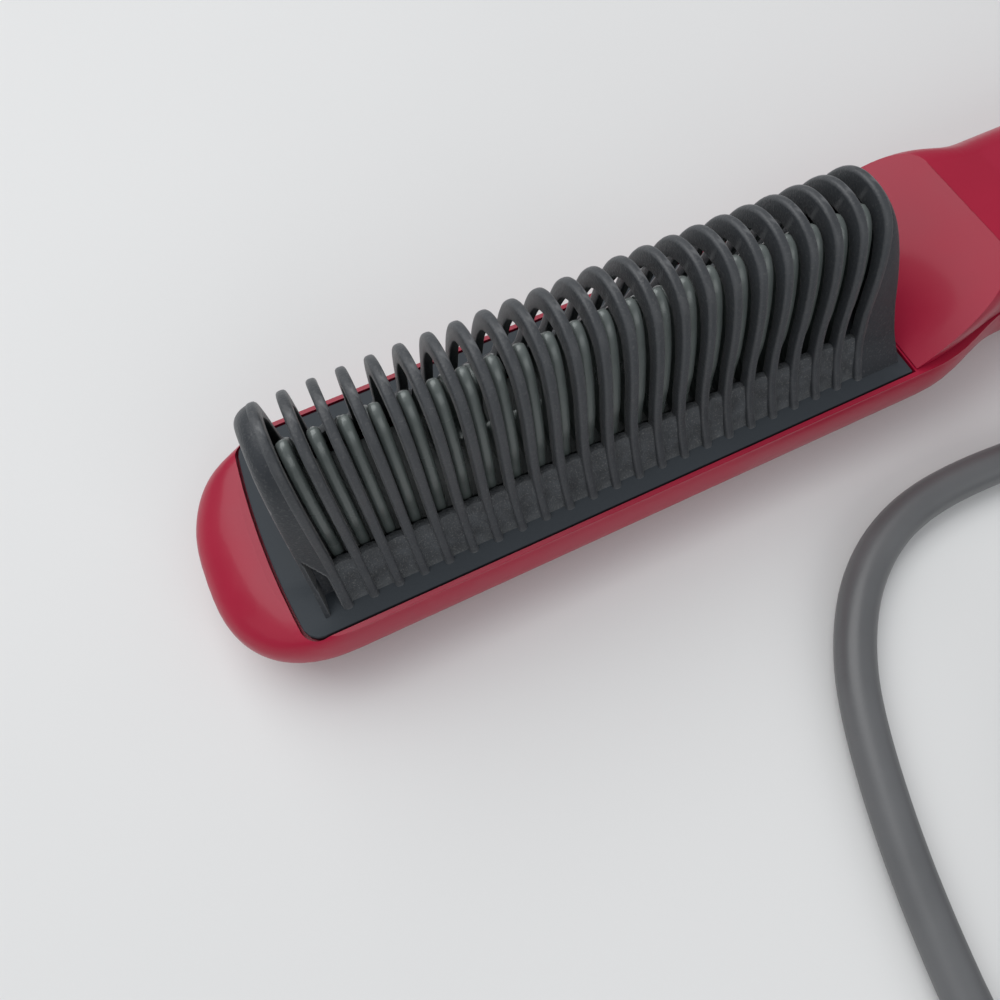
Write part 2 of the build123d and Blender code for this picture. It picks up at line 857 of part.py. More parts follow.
with BuildPart() as film_capacitor:
    with BuildSketch(Plane.XY.offset(board_z - 11.0)):
        with Locations((board_x + 9.0, -4.0)):
            Rectangle(13.0, 6.0)
    extrude(amount=11.0)
film_capacitor.part.label = "film_capacitor"
export_step(film_capacitor.part, "parts/film_capacitor.step")

with BuildPart() as smoothing_capacitor:
    with BuildSketch(Plane.XY.offset(board_z - 11.5)):
        with Locations((board_x + 8.0, 5.5)):
            Circle(4.0)
    extrude(amount=11.5)
smoothing_capacitor.part.label = "smoothing_capacitor"
export_step(smoothing_capacitor.part, "parts/smoothing_capacitor.step")

terminal_x = board_x + board_length / 2 - 11.0
with BuildPart() as terminal_block:
    with BuildSketch(Plane.XY.offset(board_z - 9.0)):
        with Locations((terminal_x, 0)):
            Rectangle(7.5, 10.0)
    extrude(amount=9.0)
terminal_block.part.label = "terminal_block"
export_step(terminal_block.part, "parts/terminal_block.step")

# Buttons, each a cap with a flange under the cover and a stem over its switch
stem_bottom = board_top_z + switch_height + press_gap
flange_top = cover_top_z - cover_wall - 0.15
for name, x in zip(("power_button", "plus_button", "minus_button"), button_x):
    with BuildPart() as button:
        with BuildSketch(Plane.XY.offset(flange_top - button_flange_height)):
            with Locations((x, 0)):
                Circle(button_radius + button_flange)
        extrude(amount=button_flange_height)
        with BuildSketch(Plane.XY.offset(flange_top)):
            with Locations((x, 0)):
                Circle(button_radius)
        extrude(amount=cover_top_z + button_proud - flange_top)
        with BuildSketch(Plane.XY.offset(stem_bottom)):
            with Locations((x, 0)):
                Circle(plunger_radius)
        extrude(amount=flange_top - stem_bottom)
    button.part.label = name
    export_step(button.part, "parts/" + name + ".step")

# Screws that hold the housing together from the back
with BuildPart() as housing_screws:
    with BuildSketch(Plane.XY.offset(counterbore_depth - screw_head_height)):
        with Locations(*head_spots, *handle_spots):
            Circle(screw_head_radius)
    extrude(amount=screw_head_height)
    with BuildSketch(Plane.XY.offset(counterbore_depth)):
        with Locations(*head_spots):
            Circle(screw_radius)
    extrude(amount=plate_z - counterbore_depth)
    with BuildSketch(Plane.XY.offset(counterbore_depth)):
        with Locations(*handle_spots):
            Circle(screw_radius)
    extrude(amount=parting_z + 6.0 - counterbore_depth)
housing_screws.part.label = "housing_screws"
export_step(housing_screws.part, "parts/housing_screws.step")

# Swivel at the end of the handle, turned about the handle's axis
with BuildPart() as swivel_socket:
    with BuildSketch(Plane.XZ):
        with BuildLine():
            Polyline(
                (socket_inner_x, axis_z + socket_bore),
                (socket_inner_x, axis_z + socket_flange),
                (socket_inner_x + socket_flange_length, axis_z + socket_flange),
                (socket_inner_x + socket_flange_length, axis_z + socket_neck),
                (tail_x + seam_gap, axis_z + socket_neck),
                (tail_x + seam_gap, axis_z + socket_dome),
                (tail_x + 2.5, axis_z + socket_dome),
                (socket_end_x, axis_z + socket_dome_end),
                (socket_end_x, axis_z + socket_bore),
                close=True,
            )
        make_face()
    revolve(axis=Axis((0, 0, axis_z), (1, 0, 0)))
swivel_socket.part.label = "swivel_socket"
export_step(swivel_socket.part, "parts/swivel_socket.step")

barrel_in_x = socket_inner_x - swivel_gap - barrel_flange_length
barrel_out_x = socket_end_x + swivel_gap + barrel_flange_length
barrel_tail_x = barrel_in_x - barrel_tail_length
with BuildPart() as swivel_barrel:
    with BuildSketch(Plane.XZ):
        with BuildLine():
            Polyline(
                (barrel_tail_x, axis_z + barrel_bore),
                (barrel_tail_x, axis_z + barrel_tail),
                (barrel_in_x, axis_z + barrel_tail),
                (barrel_in_x, axis_z + barrel_flange),
                (barrel_in_x + barrel_flange_length, axis_z + barrel_flange),
                (barrel_in_x + barrel_flange_length, axis_z + socket_bore - swivel_gap),
                (socket_end_x + swivel_gap, axis_z + socket_bore - swivel_gap),
                (socket_end_x + swivel_gap, axis_z + barrel_flange),
                (barrel_out_x, axis_z + barrel_flange),
                (barrel_out_x, axis_z + barrel_bore),
                close=True,
            )
        make_face()
    revolve(axis=Axis((0, 0, axis_z), (1, 0, 0)))
swivel_barrel.part.label = "swivel_barrel"
export_step(swivel_barrel.part, "parts/swivel_barrel.step")

ring_spots = [barrel_tail_x + 1.2, barrel_tail_x + barrel_tail_length - 1.8 - ring_width]
with BuildPart() as contact_rings:
    for x in ring_spots:
        with BuildSketch(Plane.YZ.offset(x)):
            with Locations((0, axis_z)):
                Circle(ring_radius)
                Circle(barrel_tail, mode=Mode.SUBTRACT)
        extrude(amount=ring_width)
contact_rings.part.label = "contact_rings"
export_step(contact_rings.part, "parts/contact_rings.step")

# Brush holder on the shell's floor with a brush under each ring
holder_x = barrel_tail_x - 1.0
holder_length = barrel_tail_length + 0.5
brush_top_z = axis_z - ring_radius - brush_gap
holder_top_z = brush_top_z - 2.0
with BuildPart() as brush_holder:
    with BuildSketch(Plane.XY.offset(wall)):
        with Locations((holder_x + holder_length / 2, 0)):
            Rectangle(holder_length, 9.0)
    extrude(amount=holder_top_z - wall)
    for x in ring_spots:
        with Locations((x + ring_width / 2, 0, holder_top_z)):
            Box(
                brush_width,
                3.0,
                3.0,
                align=(Align.CENTER, Align.CENTER, Align.MAX),
                mode=Mode.SUBTRACT,
            )
brush_holder.part.label = "brush_holder"
export_step(brush_holder.part, "parts/brush_holder.step")

with BuildPart() as contact_brushes:
    with Locations(*[(x + ring_width / 2, 0, brush_top_z) for x in ring_spots]):
        Box(brush_width, 3.0, 5.0, align=(Align.CENTER, Align.CENTER, Align.MAX))
contact_brushes.part.label = "contact_brushes"
export_step(contact_brushes.part, "parts/contact_brushes.step")


# Leads inside the handle
def lead(points, radius, bend):
    with BuildPart() as run:
        with BuildLine() as path:
            FilletPolyline(*points, radius=bend)
        with BuildSketch(Plane(origin=path.line @ 0, z_dir=path.line % 0)):
            Circle(radius)
        sweep(path=path.line)
    return run.part


lead_radius = 0.6
with BuildPart() as heater_leads:
    for y in (-2.0, 2.0):
        add(
            lead(
                [
                    (heater_spots[1] + heater_length / 2, y, heater_z + heater_thickness / 2),
                    (last_arch_x + 14.0, y, heater_z + heater_thickness / 2),
                    (last_arch_x + 26.0, y * 1.6, 12.0),
                    (board_x - board_length / 2 + 6.0, y * 1.6, 15.0),
                    (board_x - board_length / 2 + 6.0, y * 1.6, board_z),
                ],
                lead_radius,
                1.8,
            )
        )
heater_leads.part.label = "heater_leads"
export_step(heater_leads.part, "parts/heater_leads.step")

with BuildPart() as mains_leads:
    for y in (-2.6, 2.6):
        add(
            lead(
                [
                    (terminal_x + 3.75, y, board_z - 4.5),
                    (holder_x - 5.0, y, board_z - 4.5),
                    (holder_x - 4.0, y, wall + 3.0),
                    (holder_x, y, wall + 3.0),
                ],
                lead_radius,
                1.5,
            )
        )
mains_leads.part.label = "mains_leads"
export_step(mains_leads.part, "parts/mains_leads.step")

# Strain relief, tapered and ribbed, on the swivel
boot_length = overall_length / 2 - barrel_out_x
with BuildPart() as strain_relief:
    with BuildSketch(Plane.XZ):
        with BuildLine():
            Polyline(
                (barrel_out_x, axis_z + cord_radius + boot_bore_gap),
                (barrel_out_x, axis_z + boot_radius),
                (barrel_out_x + 6.0, axis_z + boot_radius),
                (barrel_out_x + boot_length, axis_z + boot_tip_radius),
                (barrel_out_x + boot_length, axis_z + cord_radius + boot_bore_gap),
                close=True,
            )
        make_face()
    revolve(axis=Axis((0, 0, axis_z), (1, 0, 0)))
strain_relief.part.label = "strain_relief"
export_step(strain_relief.part, "parts/strain_relief.step")

# Power cord, from the swivel down to the surface, back along the object and
# round the bight, to the put-away coil
coil_start = (coil_x, coil_y - coil_outer)
cord_points = [
    (barrel_out_x + 0.3, 0, axis_z),
    (166.0, 0, axis_z),
    (217.3, -3.0, 8.5),
    (245.0, -18.0, 3.5),
    (258.5, -51.0, 3.5),
    (241.0, -86.0, 3.5),
    (205.0, -97.5, 3.5),
    (164.0, -90.0, 3.5),
    (116.0, -75.0, 3.5),
    (64.0, -57.5, 3.5),
    (12.0, -42.5, 3.5),
    (-18.0, -38.9, 3.5),
    (-36.0, -40.2, 3.5),
    (-49.4, -47.0, 3.5),
    (-59.4, -58.5, 3.5),
    (-65.6, -72.4, 3.5),
    (-71.5, -93.0, 3.5),
    (-75.5, -118.0, 3.5),
    (-70.0, -142.0, 3.5),
    (-55.0, -162.0, 3.7),
    (-34.0, coil_start[1], coil_z),
    (coil_start[0] - coil_lead_in, coil_start[1], coil_z),
]


def cord_radii(points):
    radii = []
    for i in range(1, len(points) - 1):
        before = Vector(*points[i]) - Vector(*points[i - 1])
        after = Vector(*points[i + 1]) - Vector(*points[i])
        turn = math.radians(before.get_angle(after))
        radii.append(0.45 * min(before.length, after.length) / math.tan(turn / 2))
    return radii


radii = cord_radii(cord_points)
print("cord radii", [round(r, 1) for r in radii])
with BuildPart() as power_cord:
    with BuildLine() as cord_path:
        FilletPolyline(*cord_points, radius=radii)
    with BuildSketch(Plane(origin=cord_path.line @ 0, z_dir=cord_path.line % 0)):
        Circle(cord_radius)
    sweep(path=cord_path.line)
power_cord.part.label = "power_cord"
cord_section = math.pi * cord_radius**2
cord_length = cord_path.wire().length
print(
    "cord length",
    round(cord_length, 1),
    "volume share",
    round(power_cord.part.volume / (cord_section * cord_length), 4),
)
export_step(power_cord.part, "parts/power_cord.step")

# Put-away coil in two layers, spiralling in below and out above
coil_side = -1
coil_reach = coil_outer
layer_z = coil_z
with BuildPart() as cord_coil:
    with BuildLine() as coil_path:
        Line(
            (coil_x - coil_lead_in, coil_y - coil_outer, coil_z),
            (coil_x, coil_y - coil_outer, coil_z),
        )
        for i in range(coil_half_turns_in):
            step = coil_inner_step if i == coil_half_turns_in - 1 else coil_step
            next_reach = coil_reach - step
            mid_y = coil_y + coil_side * (coil_reach - next_reach) / 2
            bulge = -coil_side * (coil_reach + next_reach) / 2
            ThreePointArc(
                (coil_x, coil_y + coil_side * coil_reach, layer_z),
                (coil_x + bulge, mid_y, layer_z),
                (coil_x, coil_y - coil_side * next_reach, layer_z),
            )
            coil_reach = next_reach
            coil_side = -coil_side
        climb_reach = math.hypot(coil_reach, layer_rise / 2)
        climb_mid = (coil_x - coil_side * climb_reach, coil_y, layer_z + layer_rise / 2)
        TangentArc(
            (coil_x, coil_y + coil_side * coil_reach, layer_z),
            climb_mid,
            tangent=(-coil_side, 0, 0),
        )
        TangentArc(
            climb_mid,
            (coil_x, coil_y - coil_side * coil_reach, layer_z + layer_rise),
            tangent=(-coil_side, 0, 0),
            tangent_from_first=False,
        )
        coil_side = -coil_side
        layer_z = layer_z + layer_rise
        for i in range(coil_half_turns_out):
            step = coil_inner_step if i == 0 else coil_step
            next_reach = coil_reach + step
            mid_y = coil_y + coil_side * (coil_reach - next_reach) / 2
            bulge = -coil_side * (coil_reach + next_reach) / 2
            ThreePointArc(
                (coil_x, coil_y + coil_side * coil_reach, layer_z),
                (coil_x + bulge, mid_y, layer_z),
                (coil_x, coil_y - coil_side * next_reach, layer_z),
            )
            coil_reach = next_reach
            coil_side = -coil_side
        Line(
            (coil_x, coil_y + coil_side * coil_reach, layer_z),
            (coil_x + coil_lead_out, coil_y + coil_side * coil_reach, layer_z),
        )
    with BuildSketch(Plane(origin=coil_path.line @ 0, z_dir=coil_path.line % 0)):
        Circle(cord_radius)
    sweep(path=coil_path.line)
cord_coil.part.label = "cord_coil"
export_step(cord_coil.part, "parts/cord_coil.step")

coil_wire = coil_path.wire()
coil_length = coil_wire.length
coil_samples = 720
coil_points = [coil_wire @ (i / coil_samples) for i in range(coil_samples + 1)]
skip = int(4 * cord_diameter / (coil_length / coil_samples))
least = min(
    (coil_points[i] - coil_points[j]).length
    for i in range(coil_samples + 1)
    for j in range(i + skip, coil_samples + 1)
)
print("coil length", round(coil_length, 1), "least gap", round(least - cord_diameter, 2))
print(
    "coil volume share",
    round(cord_coil.part.volume / (cord_section * coil_length), 4),
)

# Tie round the coil's turns on its far side
inner_turn = coil_outer - (coil_half_turns_in - 1) * coil_step
tie_in = inner_turn - coil_inner_step / 2 - cord_radius - tie_slack
tie_out = coil_outer - 1.5 * coil_step + cord_radius + tie_slack
tie_top = coil_z + layer_rise + cord_radius + tie_gap
with BuildPart() as cord_tie:
    with BuildSketch(Plane.XZ.offset(-coil_y - tie_width / 2)):
        with Locations((coil_x - (tie_in + tie_out) / 2, (tie_top + tie_thickness) / 2)):
            RectangleRounded(tie_out - tie_in + 2 * tie_thickness, tie_top + tie_thickness, 3.0)
        with Locations((coil_x - (tie_in + tie_out) / 2, (tie_top + tie_thickness) / 2)):
            RectangleRounded(
                tie_out - tie_in, tie_top - tie_thickness, 2.4, mode=Mode.SUBTRACT
            )
    extrude(amount=tie_width)
cord_tie.part.label = "cord_tie"
export_step(cord_tie.part, "parts/cord_tie.step")

# Plug, lying beside the coil
plug_x = coil_x + coil_lead_out
plug_y = coil_y - coil_reach
plug_z = layer_z
plug_body_x = plug_x + plug_boot_length
with BuildPart() as plug_body:
    with BuildSketch(Plane.YZ.offset(plug_x)):
        with Locations((plug_y, plug_z)):
            Circle(cord_radius + 1.4)
    with BuildSketch(Plane.YZ.offset(plug_body_x)):
        with Locations((plug_y, plug_z)):
            Circle(plug_z * 0.72)
    loft()
    with BuildSketch(Plane.YZ.offset(plug_body_x)):
        with Locations((plug_y, plug_z)):
            RectangleRounded(plug_width, 2 * plug_z, plug_corner)
    extrude(amount=plug_length)
    with Locations(
        *[
            (plug_body_x + plug_length, plug_y + side * pin_spacing / 2, plug_z)
            for side in (1, -1)
        ]
    ):
        Cylinder(
            pin_radius,
            6.0,
            rotation=(0, 90, 0),
            mode=Mode.SUBTRACT,
        )
plug_body.part.label = "plug_body"
export_step(plug_body.part, "parts/plug_body.step")

pin_start = plug_body_x + plug_length - 3.0
with BuildPart() as plug_pins:
    for side in (1, -1):
        with BuildSketch(Plane.YZ.offset(pin_start)):
            with Locations((plug_y + side * pin_spacing / 2, plug_z)):
                Circle(pin_radius)
        extrude(amount=pin_length + 3.0)
plug_pins.part.label = "plug_pins"
export_step(plug_pins.part, "parts/plug_pins.step")
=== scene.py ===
import math

import bmesh
import bpy
import numpy as np
from mathutils import Matrix, Vector


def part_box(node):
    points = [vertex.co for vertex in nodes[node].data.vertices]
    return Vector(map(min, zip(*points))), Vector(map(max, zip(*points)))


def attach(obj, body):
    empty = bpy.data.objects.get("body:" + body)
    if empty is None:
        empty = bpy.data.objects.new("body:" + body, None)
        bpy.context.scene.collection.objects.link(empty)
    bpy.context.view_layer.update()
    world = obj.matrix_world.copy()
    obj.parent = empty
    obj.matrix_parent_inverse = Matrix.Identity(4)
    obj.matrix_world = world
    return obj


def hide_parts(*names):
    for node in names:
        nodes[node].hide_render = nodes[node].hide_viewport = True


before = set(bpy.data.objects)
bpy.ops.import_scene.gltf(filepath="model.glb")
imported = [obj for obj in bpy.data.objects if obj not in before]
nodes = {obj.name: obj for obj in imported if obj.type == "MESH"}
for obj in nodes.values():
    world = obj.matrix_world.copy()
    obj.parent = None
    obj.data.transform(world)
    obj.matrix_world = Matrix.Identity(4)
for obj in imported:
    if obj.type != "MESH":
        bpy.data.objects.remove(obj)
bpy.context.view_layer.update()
mm = 0.001

# Places shared with the solids, in millimetres
archX = -133.7 + 4.5 * np.arange(23)
archHeight = 32.0  # above the plate
plateTop = 16.0
axisZ = 16.0  # of the handle and the swivel


# Camera, solved from the row of arches in the photograph
camera = bpy.data.objects.new("camera", bpy.data.cameras.new("camera"))
bpy.context.scene.collection.objects.link(camera)
camera.data.lens = 28.8
camera.data.sensor_width = 36.0
camera.data.sensor_fit = "HORIZONTAL"
camera.data.clip_start = 0.01
camera.data.clip_end = 20.0
cameraRight = Vector((0.90534116, -0.4239068, -0.02569849))
cameraDown = Vector((-0.39795329, -0.82567029, -0.39987717))
cameraForward = Vector((0.14829218, 0.37225205, -0.9162084))
cameraTurn = Matrix((cameraRight, -cameraDown, -cameraForward)).transposed().to_4x4()
camera.matrix_world = Matrix.Translation((-0.12390, -0.06176, 0.14198)) @ cameraTurn
bpy.context.scene.camera = camera
print("camera done")


# Surface grain: clouds and dust in the colour, fine bumps, and lighter edges, which are wear and, on
# the guard and the fins, a painted highlight
def makeGrainGroup():
    group = bpy.data.node_groups.new("surfaceGrain", "ShaderNodeTree")
    face = group.interface
    inputs = [
        ("Color", "NodeSocketColor", (0.5, 0.5, 0.5, 1)),
        ("Wear And Highlight Color", "NodeSocketColor", (0.5, 0.5, 0.5, 1)),
        ("Grain Scale", "NodeSocketFloat", 900.0),
        ("Grain Bump", "NodeSocketFloat", 0.15),
        ("Cloud Scale", "NodeSocketFloat", 60.0),
        ("Cloud Amount", "NodeSocketFloat", 0.1),
        ("Wear Amount", "NodeSocketFloat", 0.2),
        ("Roughness", "NodeSocketFloat", 0.5),
        ("Roughness Spread", "NodeSocketFloat", 0.06),
        ("Dust Color", "NodeSocketColor", (0.5, 0.5, 0.5, 1)),
        ("Dust Amount", "NodeSocketFloat", 0.0),
    ]
    for label, kind, value in inputs:
        socket = face.new_socket(label, in_out="INPUT", socket_type=kind)
        socket.default_value = value
    face.new_socket("Color", in_out="OUTPUT", socket_type="NodeSocketColor")
    face.new_socket("Roughness", in_out="OUTPUT", socket_type="NodeSocketFloat")
    face.new_socket("Normal", in_out="OUTPUT", socket_type="NodeSocketVector")
    add = group.nodes.new
    link = group.links.new
    entry = add("NodeGroupInput")
    leave = add("NodeGroupOutput")
    coords = add("ShaderNodeTexCoord")
    grain = add("ShaderNodeTexNoise")
    grain.inputs["Detail"].default_value = 4.0
    cloud = add("ShaderNodeTexNoise")
    cloud.inputs["Detail"].default_value = 3.0
    link(coords.outputs["Object"], grain.inputs["Vector"])
    link(coords.outputs["Object"], cloud.inputs["Vector"])
    link(entry.outputs["Grain Scale"], grain.inputs["Scale"])
    link(entry.outputs["Cloud Scale"], cloud.inputs["Scale"])

    shift = add("ShaderNodeMapRange")  # clouds from -1 to 1
    shift.inputs["From Min"].default_value = 0.3
    shift.inputs["From Max"].default_value = 0.7
    shift.inputs["To Min"].default_value = -1.0
    shift.inputs["To Max"].default_value = 1.0
    link(cloud.outputs["Fac"], shift.inputs["Value"])
    amount = add("ShaderNodeMath")
    amount.operation = "MULTIPLY_ADD"
    amount.inputs[2].default_value = 1.0
    link(shift.outputs["Result"], amount.inputs[0])
    link(entry.outputs["Cloud Amount"], amount.inputs[1])
    tone = add("ShaderNodeHueSaturation")
    link(entry.outputs["Color"], tone.inputs["Color"])
    link(amount.outputs["Value"], tone.inputs["Value"])

    speck = add("ShaderNodeMapRange")  # dust where the fine noise peaks
    speck.inputs["From Min"].default_value = 0.56
    speck.inputs["From Max"].default_value = 0.72
    link(grain.outputs["Fac"], speck.inputs["Value"])
    dust = add("ShaderNodeMath")
    dust.operation = "MULTIPLY"
    link(speck.outputs["Result"], dust.inputs[0])
    link(entry.outputs["Dust Amount"], dust.inputs[1])
    dusty = add("ShaderNodeMix")
    dusty.data_type = "RGBA"
    link(dust.outputs["Value"], dusty.inputs[0])
    link(tone.outputs["Color"], dusty.inputs[6])
    link(entry.outputs["Dust Color"], dusty.inputs[7])

    geometry = add("ShaderNodeNewGeometry")
    edge = add("ShaderNodeMapRange")  # edges that stand out get lighter: wear, and on the guard and the fins a painted highlight
    edge.inputs["From Min"].default_value = 0.505
    edge.inputs["From Max"].default_value = 0.6
    link(geometry.outputs["Pointiness"], edge.inputs["Value"])
    wearAndHighlightShare = add("ShaderNodeMath")
    wearAndHighlightShare.operation = "MULTIPLY"
    link(edge.outputs["Result"], wearAndHighlightShare.inputs[0])
    link(entry.outputs["Wear Amount"], wearAndHighlightShare.inputs[1])
    mix = add("ShaderNodeMix")
    mix.data_type = "RGBA"
    link(wearAndHighlightShare.outputs["Value"], mix.inputs[0])
    link(dusty.outputs[2], mix.inputs[6])
    link(entry.outputs["Wear And Highlight Color"], mix.inputs[7])
    link(mix.outputs[2], leave.inputs["Color"])

    rough = add("ShaderNodeMath")
    rough.operation = "MULTIPLY_ADD"
    link(shift.outputs["Result"], rough.inputs[0])
    link(entry.outputs["Roughness Spread"], rough.inputs[1])
    link(entry.outputs["Roughness"], rough.inputs[2])
    link(rough.outputs["Value"], leave.inputs["Roughness"])

    bump = add("ShaderNodeBump")
    bump.inputs["Distance"].default_value = 0.0002
    link(entry.outputs["Grain Bump"], bump.inputs["Strength"])
    link(grain.outputs["Fac"], bump.inputs["Height"])
    link(bump.outputs["Normal"], leave.inputs["Normal"])
    return group


grainGroup = makeGrainGroup()


# Material with the grain group in front of a Principled shader: values go to the
# group, and sockets to the shader with their spaces written as underscores
def grainMaterial(name, color, wearAndHighlightColor, roughness, values, **sockets):
    material = bpy.data.materials.new(name)
    material.use_nodes = True
    tree = material.node_tree
    shader = tree.nodes["Principled BSDF"]
    grain = tree.nodes.new("ShaderNodeGroup")
    grain.node_tree = grainGroup
    grain.inputs["Color"].default_value = (*color, 1)
    grain.inputs["Wear And Highlight Color"].default_value = (*wearAndHighlightColor, 1)
    grain.inputs["Roughness"].default_value = roughness
    for label, value in values.items():
        grain.inputs[label].default_value = value
    tree.links.new(grain.outputs["Color"], shader.inputs["Base Color"])
    tree.links.new(grain.outputs["Roughness"], shader.inputs["Roughness"])
    tree.links.new(grain.outputs["Normal"], shader.inputs["Normal"])
    for label, value in sockets.items():
        shader.inputs[label.replace("_", " ")].default_value = value
    return material


# The same for a small part, its edges a lighter tone of its own colour
def plainMaterial(name, color, roughness, grain, bump, **sockets):
    values = {"Grain Scale": grain, "Grain Bump": bump, "Cloud Amount": 0.12}
    wearAndHighlightColor = [min(1.0, c * 1.6 + 0.02) for c in color]
    return grainMaterial(name, color, wearAndHighlightColor, roughness, values, **sockets)


redShell = grainMaterial(
    "redShell",
    (0.34, 0.004, 0.03),
    (0.4, 0.012, 0.05),
    0.36,
    {"Grain Scale": 1400, "Grain Bump": 0.03, "Cloud Amount": 0.05, "Wear Amount": 0.3},
    Coat_Weight=0.12,
    Coat_Roughness=0.12,
    Specular_IOR_Level=0.3,
)
# The light edge colour of the arches and the hood is a painted highlight on their crowns and edges
guardPlastic = grainMaterial(
    "guardPlastic",
    (0.012, 0.016, 0.021),
    (0.17, 0.175, 0.18),
    0.46,
    {
        "Grain Scale": 2600,
        "Grain Bump": 0.45,
        "Cloud Amount": 0.18,
        "Wear Amount": 0.6,
        "Dust Color": (0.16, 0.16, 0.155, 1),
        "Dust Amount": 0.25,
    },
    Sheen_Weight=0.16,
    Sheen_Roughness=0.35,
)
platePlastic = grainMaterial(
    "platePlastic",
    (0.026, 0.033, 0.04),
    (0.10, 0.11, 0.12),
    0.6,
    {"Grain Scale": 2200, "Grain Bump": 0.2, "Cloud Amount": 0.1, "Wear Amount": 0.4},
    Specular_IOR_Level=0.22,
)
webPlastic = grainMaterial(
    "webPlastic",
    (0.05, 0.055, 0.06),
    (0.16, 0.17, 0.17),
    0.62,
    {
        "Grain Scale": 3600,
        "Grain Bump": 0.9,
        "Cloud Scale": 400,
        "Cloud Amount": 0.35,
        "Dust Color": (0.25, 0.25, 0.24, 1),
        "Dust Amount": 0.45,
    },
    Specular_IOR_Level=0.4,
)
# The light edge colour of the fins is a painted highlight on their crests and edges
finCoating = grainMaterial(
    "finCoating",
    (0.03, 0.041, 0.039),
    (0.5, 0.55, 0.53),
    0.3,
    {"Grain Scale": 1800, "Grain Bump": 0.25, "Cloud Amount": 0.15, "Wear Amount": 0.42},
    Metallic=0.15,
    Specular_IOR_Level=0.6,
)
blockCoating = grainMaterial(
    "blockCoating",
    (0.014, 0.018, 0.018),
    (0.06, 0.07, 0.07),
    0.5,
    {"Grain Scale": 1800, "Grain Bump": 0.3, "Cloud Amount": 0.15, "Wear Amount": 0.4},
    Metallic=0.2,
)
cordRubber = grainMaterial(
    "cordRubber",
    (0.115, 0.118, 0.122),
    (0.17, 0.175, 0.18),
    0.4,
    {"Grain Scale": 1600, "Grain Bump": 0.12, "Cloud Amount": 0.1, "Wear Amount": 0.2},
    Specular_IOR_Level=0.45,
)
tieFabric = grainMaterial(
    "tieFabric",
    (0.02, 0.02, 0.022),
    (0.05, 0.05, 0.05),
    0.8,
    {"Grain Scale": 3000, "Grain Bump": 1.0, "Cloud Amount": 0.2},
    Sheen_Weight=0.3,
)
markPaint = plainMaterial("markPaint", (0.62, 0.63, 0.64), 0.45, 2500, 0.1)
buttonGrey = plainMaterial("buttonGrey", (0.06, 0.06, 0.065), 0.45, 2200, 0.2)
pinNickel = plainMaterial("pinNickel", (0.6, 0.57, 0.5), 0.2, 2000, 0.08, Metallic=1.0)
print("materials done")


# Cord and its put-away coil, the same points as in the solids
cordRoute = [
    (114.3, 0, 16),
    (166, 0, 16),
    (217.3, -3, 8.5),
    (245, -18, 3.5),
    (258.5, -51, 3.5),
    (241, -86, 3.5),
    (205, -97.5, 3.5),
    (164, -90, 3.5),
    (116, -75, 3.5),
    (64, -57.5, 3.5),
    (12, -42.5, 3.5),
    (-18, -38.9, 3.5),
    (-36, -40.2, 3.5),
    (-49.4, -47, 3.5),
    (-59.4, -58.5, 3.5),
    (-65.6, -72.4, 3.5),
    (-71.5, -93, 3.5),
    (-75.5, -118, 3.5),
    (-70, -142, 3.5),
    (-55, -162, 3.7),
    (-34, -173, 4.4),
    (-10.7, -173, 4.4),
]
cordRadius = 3.5
coil = {  # middle, first radius, and what each half turn loses or gains
    "x": -3.7,
    "y": -125.0,
    "reach": 48.0,
    "step": 3.75,
    "innerStep": 4.95,
    "halfTurnsIn": 6,
    "halfTurnsOut": 5,
    "rise": 7.5,
    "low": 4.4,
    "pointsPerHalfTurn": 8,
    "leadOut": 28.0,
}


# Half turns of a spiral: in below, one half turn that climbs, and out above
def coilPoints(c):
    turns = [np.array([[c["x"], c["y"] - c["reach"], c["low"]]])]
    angle = math.pi * np.arange(1, c["pointsPerHalfTurn"] + 1) / c["pointsPerHalfTurn"]
    side = -1
    reach = c["reach"]
    z = c["low"]
    for turn in range(c["halfTurnsIn"] + 1 + c["halfTurnsOut"]):
        climbing = turn == c["halfTurnsIn"]
        inner = turn in (c["halfTurnsIn"] - 1, c["halfTurnsIn"] + 1)
        step = c["innerStep"] if inner else c["step"]
        if climbing:
            step = 0.0
        elif turn < c["halfTurnsIn"]:
            step = -step
        radius = reach + step / 2
        lift = c["rise"] * (1 - np.cos(angle)) / 2 if climbing else 0 * angle
        x = c["x"] - side * radius * np.sin(angle)
        y = c["y"] - side * step / 2 + side * radius * np.cos(angle)
        turns.append(np.stack([x, y, z + lift], axis=1))
        z += c["rise"] if climbing else 0.0
        reach += step
        side = -side
    endY = c["y"] + side * reach
    turns.append(np.array([[c["x"] + c["leadOut"] * u, endY, z] for u in (0.5, 1.0)]))
    return np.concatenate(turns)


cordCurve = bpy.data.curves.new("cordLine", "CURVE")
cordCurve.dimensions = "3D"
cordCurve.bevel_depth = cordRadius * mm
cordCurve.bevel_resolution = 6
cordCurve.resolution_u = 8
cordCurve.use_fill_caps = True
spline = cordCurve.splines.new("NURBS")
allPoints = np.concatenate([np.array(cordRoute, float), coilPoints(coil)])
spline.points.add(len(allPoints) - 1)
spline.points.foreach_set("co", np.c_[allPoints * mm, np.ones(len(allPoints))].ravel())
spline.order_u = 3
spline.use_endpoint_u = True
powerCord = bpy.data.objects.new("powerCord", cordCurve)
bpy.context.scene.collection.objects.link(powerCord)
powerCord.data.materials.append(cordRubber)
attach(powerCord, "housing")
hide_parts("power_cord", "cord_coil")
print("cord done")


# Faces of a grid: point (r, c) with the next one along its row and its column
def gridFaces(rows, columns, ring):
    r = np.arange(rows - 1)[:, None]
    c = np.arange(columns if ring else columns - 1)[None, :]
    d = (c + 1) % columns
    corners = [r * columns + c, r * columns + d, (r + 1) * columns + d, (r + 1) * columns + c]
    return np.stack(corners, axis=-1).reshape(-1, 4)


mergeDistance = 1e-6  # metres


